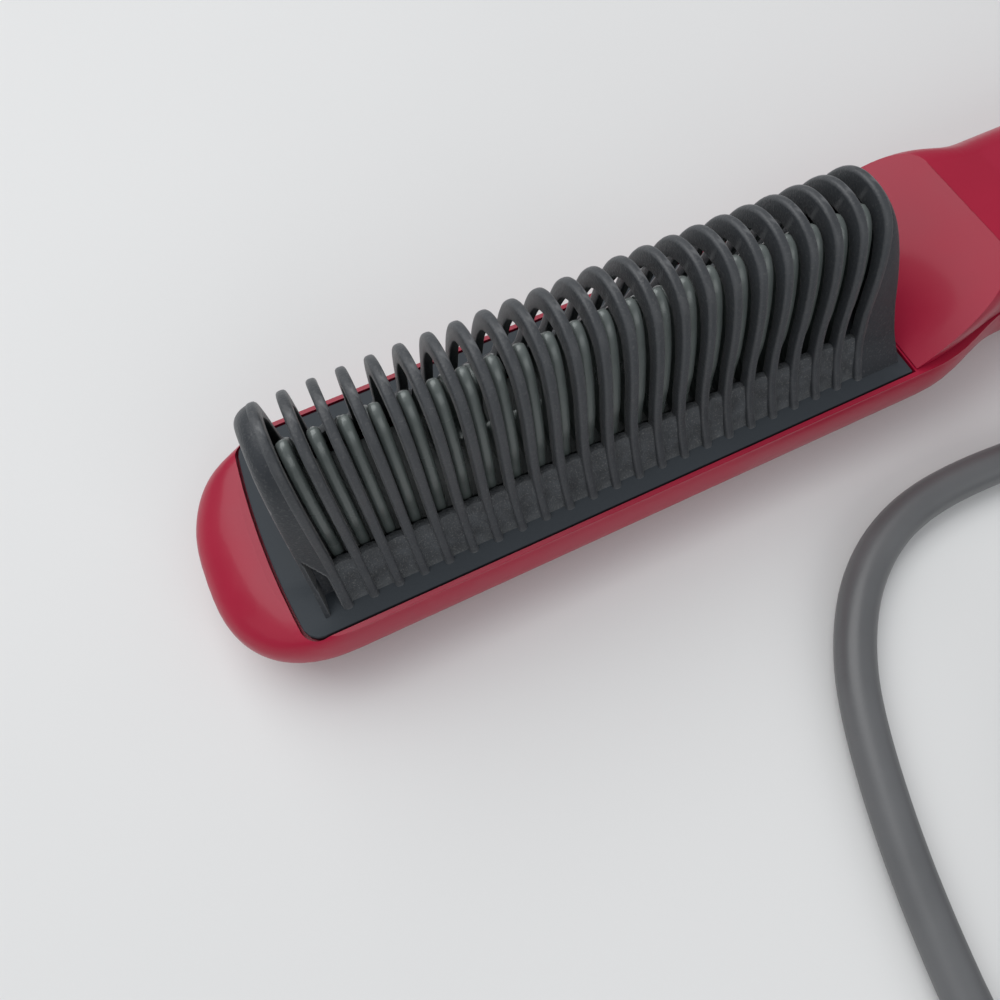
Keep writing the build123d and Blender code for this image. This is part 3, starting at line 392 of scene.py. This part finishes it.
# Mesh of several grids (rows, columns, 3) in mm: ring joins the last column to
# the first, and capped closes the first and the last row with one face each
def newPiece(
    name, grids, material, body="housing", replaced=(), ring=True, capped=True, sharp=40
):
    faces = []
    start = 0
    for grid in grids:
        rows, columns = grid.shape[:2]
        faces.extend((gridFaces(rows, columns, ring) + start).tolist())
        if capped:
            faces.append((start + np.arange(columns)).tolist())
            faces.append((start + (rows - 1) * columns + np.arange(columns)).tolist())
        start += rows * columns
    points = np.concatenate([grid.reshape(-1, 3) for grid in grids]) * mm
    mesh = bpy.data.meshes.new(name)
    mesh.from_pydata(points.tolist(), [], faces)
    form = bmesh.new()
    form.from_mesh(mesh)
    bmesh.ops.remove_doubles(form, verts=form.verts, dist=mergeDistance)
    bmesh.ops.recalc_face_normals(form, faces=form.faces)
    form.to_mesh(mesh)
    form.free()
    mesh.polygons.foreach_set("use_smooth", np.ones(len(mesh.polygons), bool))
    mesh.set_sharp_from_angle(angle=math.radians(sharp))
    mesh.materials.append(material)
    mesh.update()
    piece = bpy.data.objects.new(name, mesh)
    bpy.context.scene.collection.objects.link(piece)
    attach(piece, body)
    if replaced:
        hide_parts(*replaced)
    return piece


# Smooth curve through knots: cubic pieces with slopes from the neighbours
def curveThrough(knots, count):
    knots = np.asarray(knots, float)
    t = np.r_[0, np.cumsum(np.linalg.norm(np.diff(knots, axis=0), axis=1))]
    slopes = np.gradient(knots, t, axis=0)
    where = np.linspace(0, t[-1], count)
    index = np.clip(np.searchsorted(t, where, side="right") - 1, 0, len(t) - 2)
    span = (t[index + 1] - t[index])[:, None]
    u = (where - t[index])[:, None] / span
    return (
        (2 * u**3 - 3 * u**2 + 1) * knots[index]
        + (u**3 - 2 * u**2 + u) * span * slopes[index]
        + (-2 * u**3 + 3 * u**2) * knots[index + 1]
        + (u**3 - u**2) * span * slopes[index + 1]
    )


# Unit normals of a plane curve, to the right of its direction
def normals(curve, closed=False):
    if closed:
        along = np.roll(curve, -1, axis=0) - np.roll(curve, 1, axis=0)
    else:
        along = np.gradient(curve, axis=0)
    along = along / np.linalg.norm(along, axis=1)[:, None]
    return np.stack([along[:, 1], -along[:, 0]], axis=1)


topPoints = np.arange(16) < 8  # the first half of a rounded section's points


# Rounded rectangle from corner to corner, each corner an arc of three steps
def roundedCorners(halfWidth, top, bottom, topRadius, bottomRadius):
    angle = np.radians([0, 30, 60, 90])
    radius = np.repeat([topRadius, topRadius, bottomRadius, bottomRadius], 4)
    turn = np.concatenate([angle + q * math.pi / 2 for q in range(4)])
    sideSign = np.repeat([1, -1, -1, 1], 4)
    across = sideSign * (halfWidth - radius) + radius * np.cos(turn)
    down = np.where(topPoints, top + radius, bottom - radius) - radius * np.sin(turn)
    return across, down


# Arches of the guard
arch = {
    "side": [(17.7, -0.3), (15.9, 2.5), (14.1, 5.7), (12.8, 9.2), (11.9, 12.2), (11.2, 15.4)],
    "crown": [(10.5, 18.6), (9.7, 21.8), (8.8, 24.6), (7.7, 27.2), (6.5, 29.1), (5.0, 30.5)],
    "top": [(3.1, 31.5), (1.5, 31.9), (0.0, 32.0)],
    "steps": 97,
    "thickness": 1.6,
    "depthFoot": 4.0,
    "depthSide": 2.2,
    "depthCrown": 3.7,
    "round": 0.55,
    "innerRound": 0.3,
    "footFade": [(0, 1.0), (3, 0.6), (9, 0.0)],  # height and share of the foot's depth
    "crownFade": [(20, 0.0), (27, 0.35), (32, 1.0)],
}


# The arch's outline from one foot over the crown to the other
def archLine(steps):
    half = np.array(arch["side"] + arch["crown"] + arch["top"])
    whole = np.concatenate([half * [-1, 1], half[-2::-1]])
    curve = curveThrough(whole, steps)
    return curve, normals(curve)


# Rounded section carried along the arch, deeper at the feet and at the crown
def archRib(x):
    line, inward = archLine(arch["steps"])
    height = np.clip(line[:, 1], 0, archHeight)
    foot = np.interp(height, *zip(*arch["footFade"]))
    crown = np.interp(height, *zip(*arch["crownFade"]))
    depth = arch["depthSide"] + (arch["depthFoot"] - arch["depthSide"]) * foot
    depth = depth + (arch["depthCrown"] - arch["depthSide"]) * crown
    half = arch["thickness"] / 2
    across, down = roundedCorners(half, 0.0, 1.0, arch["round"], arch["innerRound"])
    down = down + np.where(topPoints, 0, depth[:, None] - 1)
    grid = np.empty((*down.shape, 3))
    grid[..., 0] = x + across
    grid[..., 1] = line[:, 0:1] + inward[:, 0:1] * down
    grid[..., 2] = line[:, 1:2] + inward[:, 1:2] * down + plateTop
    return grid


newPiece(
    "guardArches",
    [archRib(x) for x in archX],
    guardPlastic,
    replaced=["comb_guard"],
)
print("arches done")

# Hood in front of the first arch and the wedge behind the last one
hood = {
    "frontRun": 4.2,
    "frontTopRun": 3.4,
    "frontDrop": 3.6,
    "recess": 3.2,
    "recessRear": 1.0,
    "recessFront": 3.3,
    "recessHighFront": 12.0,
    "recessHighRear": 6.6,
    "rearRun": 8.6,
    "rearTopRun": 1.6,
    "rearDrop": 2.0,
    "dropPower": 2.5,
    "gap": 0.15,
    "lidFade": 0.5,
    "footFade": 0.4,
    "sideFade": 0.12,
    "bulge": 0.35,
    "sink": 0.2,  # of the wall below the top of the plate
    "steps": 30,
    "lineSteps": 241,
    "wallSteps": 8,
}


# The arch's line pushed away along x by a quarter wave, sinking at the crown,
# and then a wall that closes in from that rim to the middle of the plate. The
# front one has a pocket low on each flank, under a line that rises to the front
def hoodCover(x, direction, run, topRun, drop, recess=0.0):
    line, inward = archLine(hood["lineSteps"])
    height = np.clip(line[:, 1] / archHeight, 0, 1)[None, :]
    u = np.linspace(0, math.pi / 2, hood["steps"] + 1)[:, None]
    away = (run + (topRun - run) * height) * np.sin(u)
    rise = (away - hood["recessRear"]) / (hood["recessFront"] - hood["recessRear"])
    lid = hood["recessHighRear"] + (hood["recessHighFront"] - hood["recessHighRear"]) * rise
    pocket = np.clip((lid - line[:, 1]) / hood["lidFade"], 0, 1)
    pocket = pocket * np.clip(line[:, 1] / hood["footFade"], 0, 1)
    pocket = pocket * np.clip(rise / hood["sideFade"], 0, 1)
    pocket = pocket * np.clip((1 - rise) / hood["sideFade"], 0, 1)
    sinking = drop * (1 - np.cos(u)) * height ** hood["dropPower"]
    inset = hood["gap"] + sinking + recess * pocket
    cover = np.empty((hood["steps"] + 1, len(line), 3))
    cover[..., 0] = x + direction * away
    cover[..., 1] = line[:, 0] + inward[:, 0] * inset
    cover[..., 2] = line[:, 1] + inward[:, 1] * inset + plateTop
    v = np.linspace(0, 1, hood["wallSteps"] + 1)[1:, None]
    rim = cover[-1]
    wall = np.empty((hood["wallSteps"], len(line), 3))
    wall[..., 0] = rim[:, 0] + direction * hood["bulge"] * np.sin(v * math.pi)
    wall[..., 1] = rim[:, 1] * (1 - v)
    wall[..., 2] = rim[:, 2] + (plateTop - hood["sink"] - rim[:, 2]) * v
    return np.concatenate([cover, wall])


frontShape = hood["frontRun"], hood["frontTopRun"], hood["frontDrop"], hood["recess"]
rearShape = hood["rearRun"], hood["rearTopRun"], hood["rearDrop"]
newPiece(
    "guardHood",
    [hoodCover(archX[0], -1, *frontShape), hoodCover(archX[-1], 1, *rearShape)],
    guardPlastic,
    ring=False,
    capped=False,
    sharp=50,
)
print("hood done")

# Guard plate with its opening
plate = {
    "noseX": -143.0,
    "bow": 1.0,
    "corner": 3.2,
    "half": 20.0,
    "rearX": -24.8,
    "low": 14.1,
    "edge": 0.35,
    "edgeStep": 0.3,  # share of the edge at its middle ring
    "windowHalf": 12.4,
    "windowStart": -135.3,
    "windowEnd": -33.1,
    "points": 240,
}


# Evenly spaced points round a closed outline
def evenRing(corners, count):
    closed = np.concatenate([corners, corners[:1]])
    t = np.r_[0, np.cumsum(np.linalg.norm(np.diff(closed, axis=0), axis=1))]
    where = np.linspace(0, t[-1], count, endpoint=False)
    return np.stack([np.interp(where, t, closed[:, 0]), np.interp(where, t, closed[:, 1])], axis=1)


# Outline with a straight back, two straight sides, round corners and a bowed nose
def plateOutline(inset):
    nose = plate["noseX"] + inset
    half = plate["half"] - inset
    r = plate["corner"]
    a = np.linspace(0, math.pi / 2, 13)
    cornerX = nose + plate["bow"] + r * (1 - np.sin(a))
    cornerY = half - r * (1 - np.cos(a))
    y = np.linspace(-half + r, half - r, 25)
    bowX = nose + plate["bow"] * (y / (half - r)) ** 2
    rear = plate["rearX"] - inset
    left = np.stack([cornerX, -cornerY], axis=1)
    middle = np.stack([bowX, y], axis=1)[1:-1]
    right = np.stack([cornerX, cornerY], axis=1)[::-1]
    return np.concatenate([[(rear, -half)], left, middle, right, [(rear, half)]])


# Rings from the plate's lower edge, over its rounded rim, to its opening and down
def plateGrid():
    e, part = plate["edge"], plate["edge"] * plate["edgeStep"]
    count = plate["points"]
    start, end, h = plate["windowStart"], plate["windowEnd"], plate["windowHalf"]
    window = evenRing(np.array([(end, -h), (start, -h), (start, h), (end, h)], float), count)
    insets = [0.0, 0.0, part, e]
    heights = [plate["low"], plateTop - e, plateTop - part, plateTop, plateTop, plate["low"]]
    rings = [evenRing(plateOutline(inset), count) for inset in insets] + [window, window]
    grid = np.empty((len(rings), count, 3))
    grid[..., :2] = np.array(rings)
    grid[..., 2] = np.array(heights)[:, None]
    return grid


newPiece("guardPlate", [plateGrid()], platePlastic, capped=False)
print("plate done")

# Webs between the feet
web = {
    "outer": [(16.5, -0.1), (15.6, 1.6), (14.5, 4.0), (13.1, 6.7), (12.6, 7.3)],
    "inner": [(12.0, 7.4), (11.4, 7.1), (11.2, 6.0), (12.2, 2.5), (12.9, -0.1)],
    "columns": 13,
    "dip": 0.45,
    "sag": 0.4,  # share of the dip that goes down
}


# The web's section carried from one arch to the next, dished between them
def webPanel(x, side):
    section = np.array(web["outer"] + web["inner"])
    u = np.linspace(0, 1, web["columns"])[:, None]
    dip = web["dip"] * np.sin(u * math.pi) ** 2 * (section[:, 1] > 0)
    grid = np.empty((web["columns"], len(section), 3))
    grid[..., 0] = x + (archX[1] - archX[0]) * u
    grid[..., 1] = side * (section[:, 0] - dip)
    grid[..., 2] = section[:, 1] + plateTop - web["sag"] * dip
    return grid


newPiece(
    "guardWebs",
    [webPanel(x, side) for x in archX[:-1] for side in (1, -1)],
    webPlastic,
)
print("webs done")

# Heating fins, two prongs each, and the block under them
fin = {
    "nearOffset": 2.05,
    "nearThickness": 2.0,
    "farOffset": 1.65,
    "farThickness": 1.4,
    "bevel": 0.7,
    "farHeight": 0.5,
    "farSpread": 2.8,
    "crest": 29.6,  # height at which the far one leans out by the whole spread
    "leanFrom": 2.5,
    "rootHeight": 2.0,
    "steps": 72,
    "turns": [-90, -66, -42, -16, 16, 42, 66, 90],
    "outer": [(11.5, 3.2), (10.8, 6.5), (10.2, 10.0), (9.9, 13.5), (9.1, 17.5)],
    "haunch": [(8.2, 21.0), (7.1, 24.2)],
    "shoulder": [(5.9, 26.9), (4.9, 28.4), (3.9, 29.3)],
    "tip": [(2.9, 29.75), (1.8, 29.8), (1.0, 29.1), (0.8, 27.8)],
    "inner": [(1.3, 22.0), (1.9, 17.0), (2.4, 12.0), (1.6, 9.0), (0.2, 8.6)],
    "root": [(0.2, 2.0), (11.4, 2.0)],
}
block = {
    "startX": -135.0,
    "endX": -33.4,
    "half": 12.9,
    "low": 9.6,
    "step": 12.0,
    "topHalf": 9.5,
    "top": 19.0,
    "chamfer": 0.4,
}


# The prong's outline in the cross plane, drawn in and carried through a bevelled
# thickness. The far one is lower and thinner, stands nearer to the arch before
# it, and leans out with the square of its height
def finProng(x, side):
    rounded = fin["outer"] + fin["haunch"] + fin["shoulder"] + fin["tip"] + fin["inner"]
    outline = np.concatenate([curveThrough(rounded, fin["steps"]), fin["root"]])
    offset, thickness = fin["nearOffset"], fin["nearThickness"]
    if side > 0:
        lean = (outline[:, 1] / fin["crest"]) ** 2 * (outline[:, 1] > fin["leanFrom"])
        outline[:, 0] += fin["farSpread"] * lean
        root = fin["rootHeight"]
        outline[:, 1] = root + (outline[:, 1] - root) * fin["farHeight"]
        offset, thickness = fin["farOffset"], fin["farThickness"]
    inward = -normals(outline, closed=True)
    turn = np.radians(fin["turns"])[:, None]
    across = thickness / 2 * np.sin(turn)
    inset = fin["bevel"] * (1 - np.cos(turn))
    grid = np.empty((len(turn), len(outline), 3))
    grid[..., 0] = x + offset + across
    grid[..., 1] = side * (outline[:, 0] + inward[:, 0] * inset)
    grid[..., 2] = outline[:, 1] + inward[:, 1] * inset + plateTop
    return grid


# A stepped bar with its section carried along x
def blockBar():
    b = block
    cut = b["chamfer"]
    foot = [(b["half"], b["low"]), (b["half"], b["step"]), (b["topHalf"], b["step"])]
    top = [(b["topHalf"], b["top"] - cut), (b["topHalf"] - cut, b["top"])]
    half = np.array(foot + top)
    section = np.concatenate([half * [-1, 1], half[::-1]])
    grid = np.empty((2, len(section), 3))
    grid[..., 0] = np.array([b["startX"], b["endX"]])[:, None]
    grid[..., 1:] = section
    return grid


newPiece(
    "heatingFins",
    [finProng(x, side) for x in archX[:-1] for side in (1, -1)],
    finCoating,
    replaced=["heater_fin_block"],
    sharp=55,
)
newPiece("heaterBlock", [blockBar()], blockCoating, sharp=30)
print("fins done")

# Button marks, on top of each cap
marks = {
    "lift": 0.05,
    "height": 0.14,
    "stroke": 0.7,
    "arm": 1.5,
    "ring": 1.55,
    "ringStart": 40,  # degrees from the bar
    "ringEnd": 320,
    "ringSteps": 40,
    "powerShift": 1.3,
    "powerLength": 2.0,
}


# A short bar with rounded ends, lying flat at (x, y) and turned by angle
def markBar(x, y, z, length, angle):
    a = np.linspace(-math.pi / 2, math.pi / 2, 7)
    r = marks["stroke"] / 2
    cap = np.stack([length / 2 - r + r * np.cos(a), r * np.sin(a)], axis=1)
    outline = np.concatenate([cap, -cap])
    turn = np.array([[math.cos(angle), math.sin(angle)], [-math.sin(angle), math.cos(angle)]])
    grid = np.empty((2, len(outline), 3))
    grid[..., :2] = outline @ turn + [x, y]
    grid[..., 2] = z + np.array([-marks["lift"], marks["height"]])[:, None]
    return grid


# An open ring, its rectangular section carried round an arc
def markRing(x, y, z):
    start, end = math.radians(marks["ringStart"]), math.radians(marks["ringEnd"])
    a = np.linspace(start, end, marks["ringSteps"])[:, None]
    r = marks["ring"] + marks["stroke"] / 2 * np.array([-1, 1, 1, -1])
    grid = np.empty((len(a), 4, 3))
    grid[..., 0] = x + r * np.cos(a)
    grid[..., 1] = y + r * np.sin(a)
    grid[..., 2] = z + np.array([-1, -1, 1, 1]) * marks["height"] + marks["lift"]
    return grid


# Middle of a button's upper face in mm
def buttonTop(name):
    low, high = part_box(name)
    return (low[0] + high[0]) / 2 / mm, (low[1] + high[1]) / 2 / mm, high[2] / mm


x, y, z = buttonTop("power_button")
newPiece(
    "powerMark",
    [markRing(x, y, z), markBar(x + marks["powerShift"], y, z, marks["powerLength"], 0.0)],
    markPaint,
    body="power_button",
    sharp=30,
)
x, y, z = buttonTop("plus_button")
newPiece(
    "plusMark",
    [markBar(x, y, z, 2 * marks["arm"], angle) for angle in (0.0, math.pi / 2)],
    markPaint,
    body="plus_button",
    sharp=30,
)
x, y, z = buttonTop("minus_button")
newPiece(
    "minusMark",
    [markBar(x, y, z, 2 * marks["arm"], math.pi / 2)],
    markPaint,
    body="minus_button",
    sharp=30,
)
print("marks done")

# Strain relief with cut rings, and the plug
boot = {
    "start": 114.0,
    "end": 155.0,
    "collarEnd": 119.5,
    "radius": 6.4,
    "tipRadius": 4.7,
    "bore": 3.8,
    "ribs": 9,
    "ribStart": 1.5,
    "ribRun": 4.0,  # what the rings leave free of the taper
    "cut": 0.75,
    "round": 0.8,
    "rows": 181,
    "columns": 64,
}


# Rings about the swivel's axis: x and radius along the rows, angle round each row
def axisRings(x, radius, angle):
    y = radius * np.cos(angle)
    z = radius * np.sin(angle) + axisZ
    return np.stack([x + 0 * angle, y, z], axis=-1)


# A surface of revolution about x: a taper, with grooves cut on two opposite sides
# that change place from one ring to the next, and a bore down to the cord
def bootSleeve():
    b = boot
    x = np.linspace(b["start"], b["end"], b["rows"])[:, None]
    angle = np.linspace(0, 2 * math.pi, b["columns"], endpoint=False)[None, :]
    taper = np.interp(x, [b["collarEnd"], b["end"]], [b["radius"], b["tipRadius"]])
    ribLength = b["end"] - b["collarEnd"] - b["ribRun"]
    along = np.clip((x - b["collarEnd"] - b["ribStart"]) / ribLength, 0, 1) * b["ribs"]
    ribbed = (along > 0) * (along < b["ribs"])
    groove = np.clip(1.6 * np.sin(along * 2 * math.pi) - 0.6, 0, 1) * ribbed  # flat bottoms
    place = np.abs(np.cos(angle - (np.floor(along) % 2) * math.pi / 2))
    cutSide = np.clip((place - 0.25) * 4, 0, 1)  # 1 on two opposite sides
    edge = np.clip((b["end"] - x) / b["round"], 0, 1)
    rounding = b["round"] * (1 - np.sqrt(1 - (1 - edge) ** 2))
    radius = taper - b["cut"] * groove * cutSide - rounding
    boreX = np.array([b["end"], b["start"]])[:, None]
    boreRadius = b["bore"] + 0 * boreX
    outer = axisRings(x, radius, angle)
    return np.concatenate([outer, axisRings(boreX, boreRadius, angle), outer[:1]])


newPiece(
    "bootSleeve",
    [bootSleeve()],
    cordRubber,
    body="swivel",
    replaced=["strain_relief"],
    capped=False,
    sharp=50,
)

plugLow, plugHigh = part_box("plug_body")
plug = {
    "start": plugLow[0] / mm,
    "end": plugHigh[0] / mm,
    "y": (plugLow[1] + plugHigh[1]) / 2 / mm,
    "z": (plugLow[2] + plugHigh[2]) / 2 / mm,
    "halfWidth": (plugHigh[1] - plugLow[1]) / 2 / mm,
    "halfHeight": (plugHigh[2] - plugLow[2]) / 2 / mm,
    "boot": 20.0,
    "bootRadius": 4.9,
    "ribs": 6,
    "ribCut": 0.7,
    "blend": 9.0,
    "inset": 0.05,
    "grips": 7,
    "gripStart": 8.0,
    "gripRun": 16.0,
    "gripCut": 0.5,
    "round": 1.6,
    "squareness": 3.0,
    "rows": 150,
    "columns": 72,
}


# Sections from a round boot to a rounded block: a superellipse whose half sizes
# and power grow along x, with rings cut in the boot and ridges on the flanks
def plugShell():
    p = plug
    length = p["end"] - p["start"]
    s = np.linspace(0, length, p["rows"])[:, None]
    angle = np.linspace(0, 2 * math.pi, p["columns"], endpoint=False)[None, :]
    blend = np.clip((s - p["boot"]) / p["blend"], 0, 1)
    blend = blend * blend * (3 - 2 * blend)
    wide = p["bootRadius"] + (p["halfWidth"] - p["bootRadius"] - p["inset"]) * blend
    tall = p["bootRadius"] + (p["halfHeight"] - p["bootRadius"] - p["inset"]) * blend
    wave = np.sin(np.clip(s / p["boot"], 0, 1) * p["ribs"] * 2 * math.pi)
    ring = np.clip(1.5 * wave - 0.5, 0, 1)
    grip = np.clip((s - p["boot"] - p["gripStart"]) / p["gripRun"], 0, 1)
    ridge = np.sin(grip * p["grips"] * 2 * math.pi) ** 2 * (grip > 0) * (grip < 1)
    flank = np.clip(np.abs(np.cos(angle)) * 3 - 2, 0, 1)  # 1 in the middle of each side
    front = np.clip((length - s) / p["round"], 0, 1)
    close = p["round"] * (1 - np.sqrt(1 - (1 - front) ** 2))
    power = 2 / (2 + p["squareness"] * blend)
    cosine = np.sign(np.cos(angle)) * np.abs(np.cos(angle)) ** power
    sine = np.sign(np.sin(angle)) * np.abs(np.sin(angle)) ** power
    across = wide - p["ribCut"] * ring - p["gripCut"] * ridge * flank - close
    height = tall - p["ribCut"] * ring - close
    x = p["start"] + s + 0 * angle
    return np.stack([x, p["y"] + across * cosine, p["z"] + height * sine], axis=-1)


plugShellPiece = newPiece(
    "plugShell", [plugShell()], cordRubber, replaced=["plug_body"], sharp=50
)
print("boot and plug done")


# Materials of the solids that stay
kept = {
    ("back_shell", "handle_cover"): redShell,
    ("ceramic_heaters",): plainMaterial("ceramicWhite", (0.75, 0.72, 0.66), 0.7, 1500, 0.3),
    ("mica_sheet",): plainMaterial("micaSheet", (0.6, 0.5, 0.3), 0.5, 600, 0.4),
    ("heater_clamp", "thermal_fuse"): plainMaterial(
        "clampSteel", (0.5, 0.5, 0.52), 0.35, 2000, 0.15, Metallic=1.0
    ),
    ("clamp_screws", "board_screws", "housing_screws"): plainMaterial(
        "screwSteel", (0.35, 0.35, 0.37), 0.3, 2500, 0.2, Metallic=1.0
    ),
    ("heater_frame", "brush_holder"): plainMaterial("frameGrey", (0.1, 0.1, 0.11), 0.6, 2000, 0.3),
    ("insulation_pad",): plainMaterial("feltPad", (0.7, 0.68, 0.62), 0.95, 2500, 1.0, Sheen_Weight=0.4),
    ("thermistor",): plainMaterial("sensorGlass", (0.4, 0.18, 0.05), 0.2, 1500, 0.1),
    ("heater_leads", "mains_leads"): plainMaterial("leadSleeve", (0.7, 0.69, 0.65), 0.5, 2000, 0.2),
    ("led_display", "tact_switches", "controller_chip", "triac", "smoothing_capacitor"): plainMaterial(
        "componentBlack", (0.02, 0.02, 0.022), 0.35, 1800, 0.15
    ),
    ("control_board",): plainMaterial("boardGreen", (0.01, 0.12, 0.05), 0.4, 900, 0.1),
    ("film_capacitor",): plainMaterial("capacitorYellow", (0.6, 0.38, 0.03), 0.3, 1500, 0.1),
    ("terminal_block",): plainMaterial("terminalGreen", (0.03, 0.2, 0.08), 0.45, 1500, 0.2),
    ("contact_rings", "contact_brushes"): plainMaterial(
        "contactBrass", (0.65, 0.45, 0.18), 0.3, 2000, 0.1, Metallic=1.0
    ),
    ("power_button", "plus_button", "minus_button"): buttonGrey,
    ("display_lens",): plainMaterial(
        "lensDark", (0.008, 0.008, 0.01), 0.08, 1500, 0.02, Coat_Weight=1.0
    ),
    ("swivel_socket", "swivel_barrel"): guardPlastic,
    ("cord_tie",): tieFabric,
    ("plug_pins",): pinNickel,
}
for names, material in kept.items():
    for name in names:
        mesh = nodes[name].data
        mesh.materials.clear()
        mesh.materials.append(material)
print("kept nodes done")

# Floor and light
floorMaterial = grainMaterial(
    "floorPaper",
    (0.73, 0.735, 0.73),
    (0.73, 0.735, 0.73),
    0.6,
    {"Grain Scale": 500, "Grain Bump": 0.1, "Cloud Scale": 4.0, "Cloud Amount": 0.02},
    Specular_IOR_Level=0.3,
)
floorHalf = 3.0  # metres
corners = [(x * floorHalf, y * floorHalf, 0) for x, y in ((-1, -1), (1, -1), (1, 1), (-1, 1))]
floorMesh = bpy.data.meshes.new("floor")
floorMesh.from_pydata(corners, [], [(0, 1, 2, 3)])
floorMesh.materials.append(floorMaterial)
floor = bpy.data.objects.new("floor", floorMesh)
bpy.context.scene.collection.objects.link(floor)


# A rectangular light at place that points at target
def areaLight(name, place, target, width, height, power):
    data = bpy.data.lights.new(name, "AREA")
    data.shape = "RECTANGLE"
    data.size = width
    data.size_y = height
    data.energy = power
    light = bpy.data.objects.new(name, data)
    bpy.context.scene.collection.objects.link(light)
    light.location = place
    light.rotation_euler = (Vector(target) - Vector(place)).to_track_quat("-Z", "Y").to_euler()


areaLight("topLight", (-0.35, 0.75, 1.2), (-0.02, 0.08, 0), 1.6, 1.2, 15.5)
areaLight("fillLight", (0.1, -1.1, 0.75), (-0.05, 0, 0.01), 1.3, 0.8, 4.5)
areaLight("sideLight", (-1.0, -0.2, 0.8), (-0.1, 0, 0.02), 0.9, 0.9, 1.6)
world = bpy.data.worlds.new("world")
bpy.context.scene.world = world
world.use_nodes = True
sky = world.node_tree.nodes["Background"]
sky.inputs["Color"].default_value = (0.93, 0.95, 1.0, 1)
sky.inputs["Strength"].default_value = 0.37
bpy.context.scene.view_settings.view_transform = "Standard"
print("stage done")
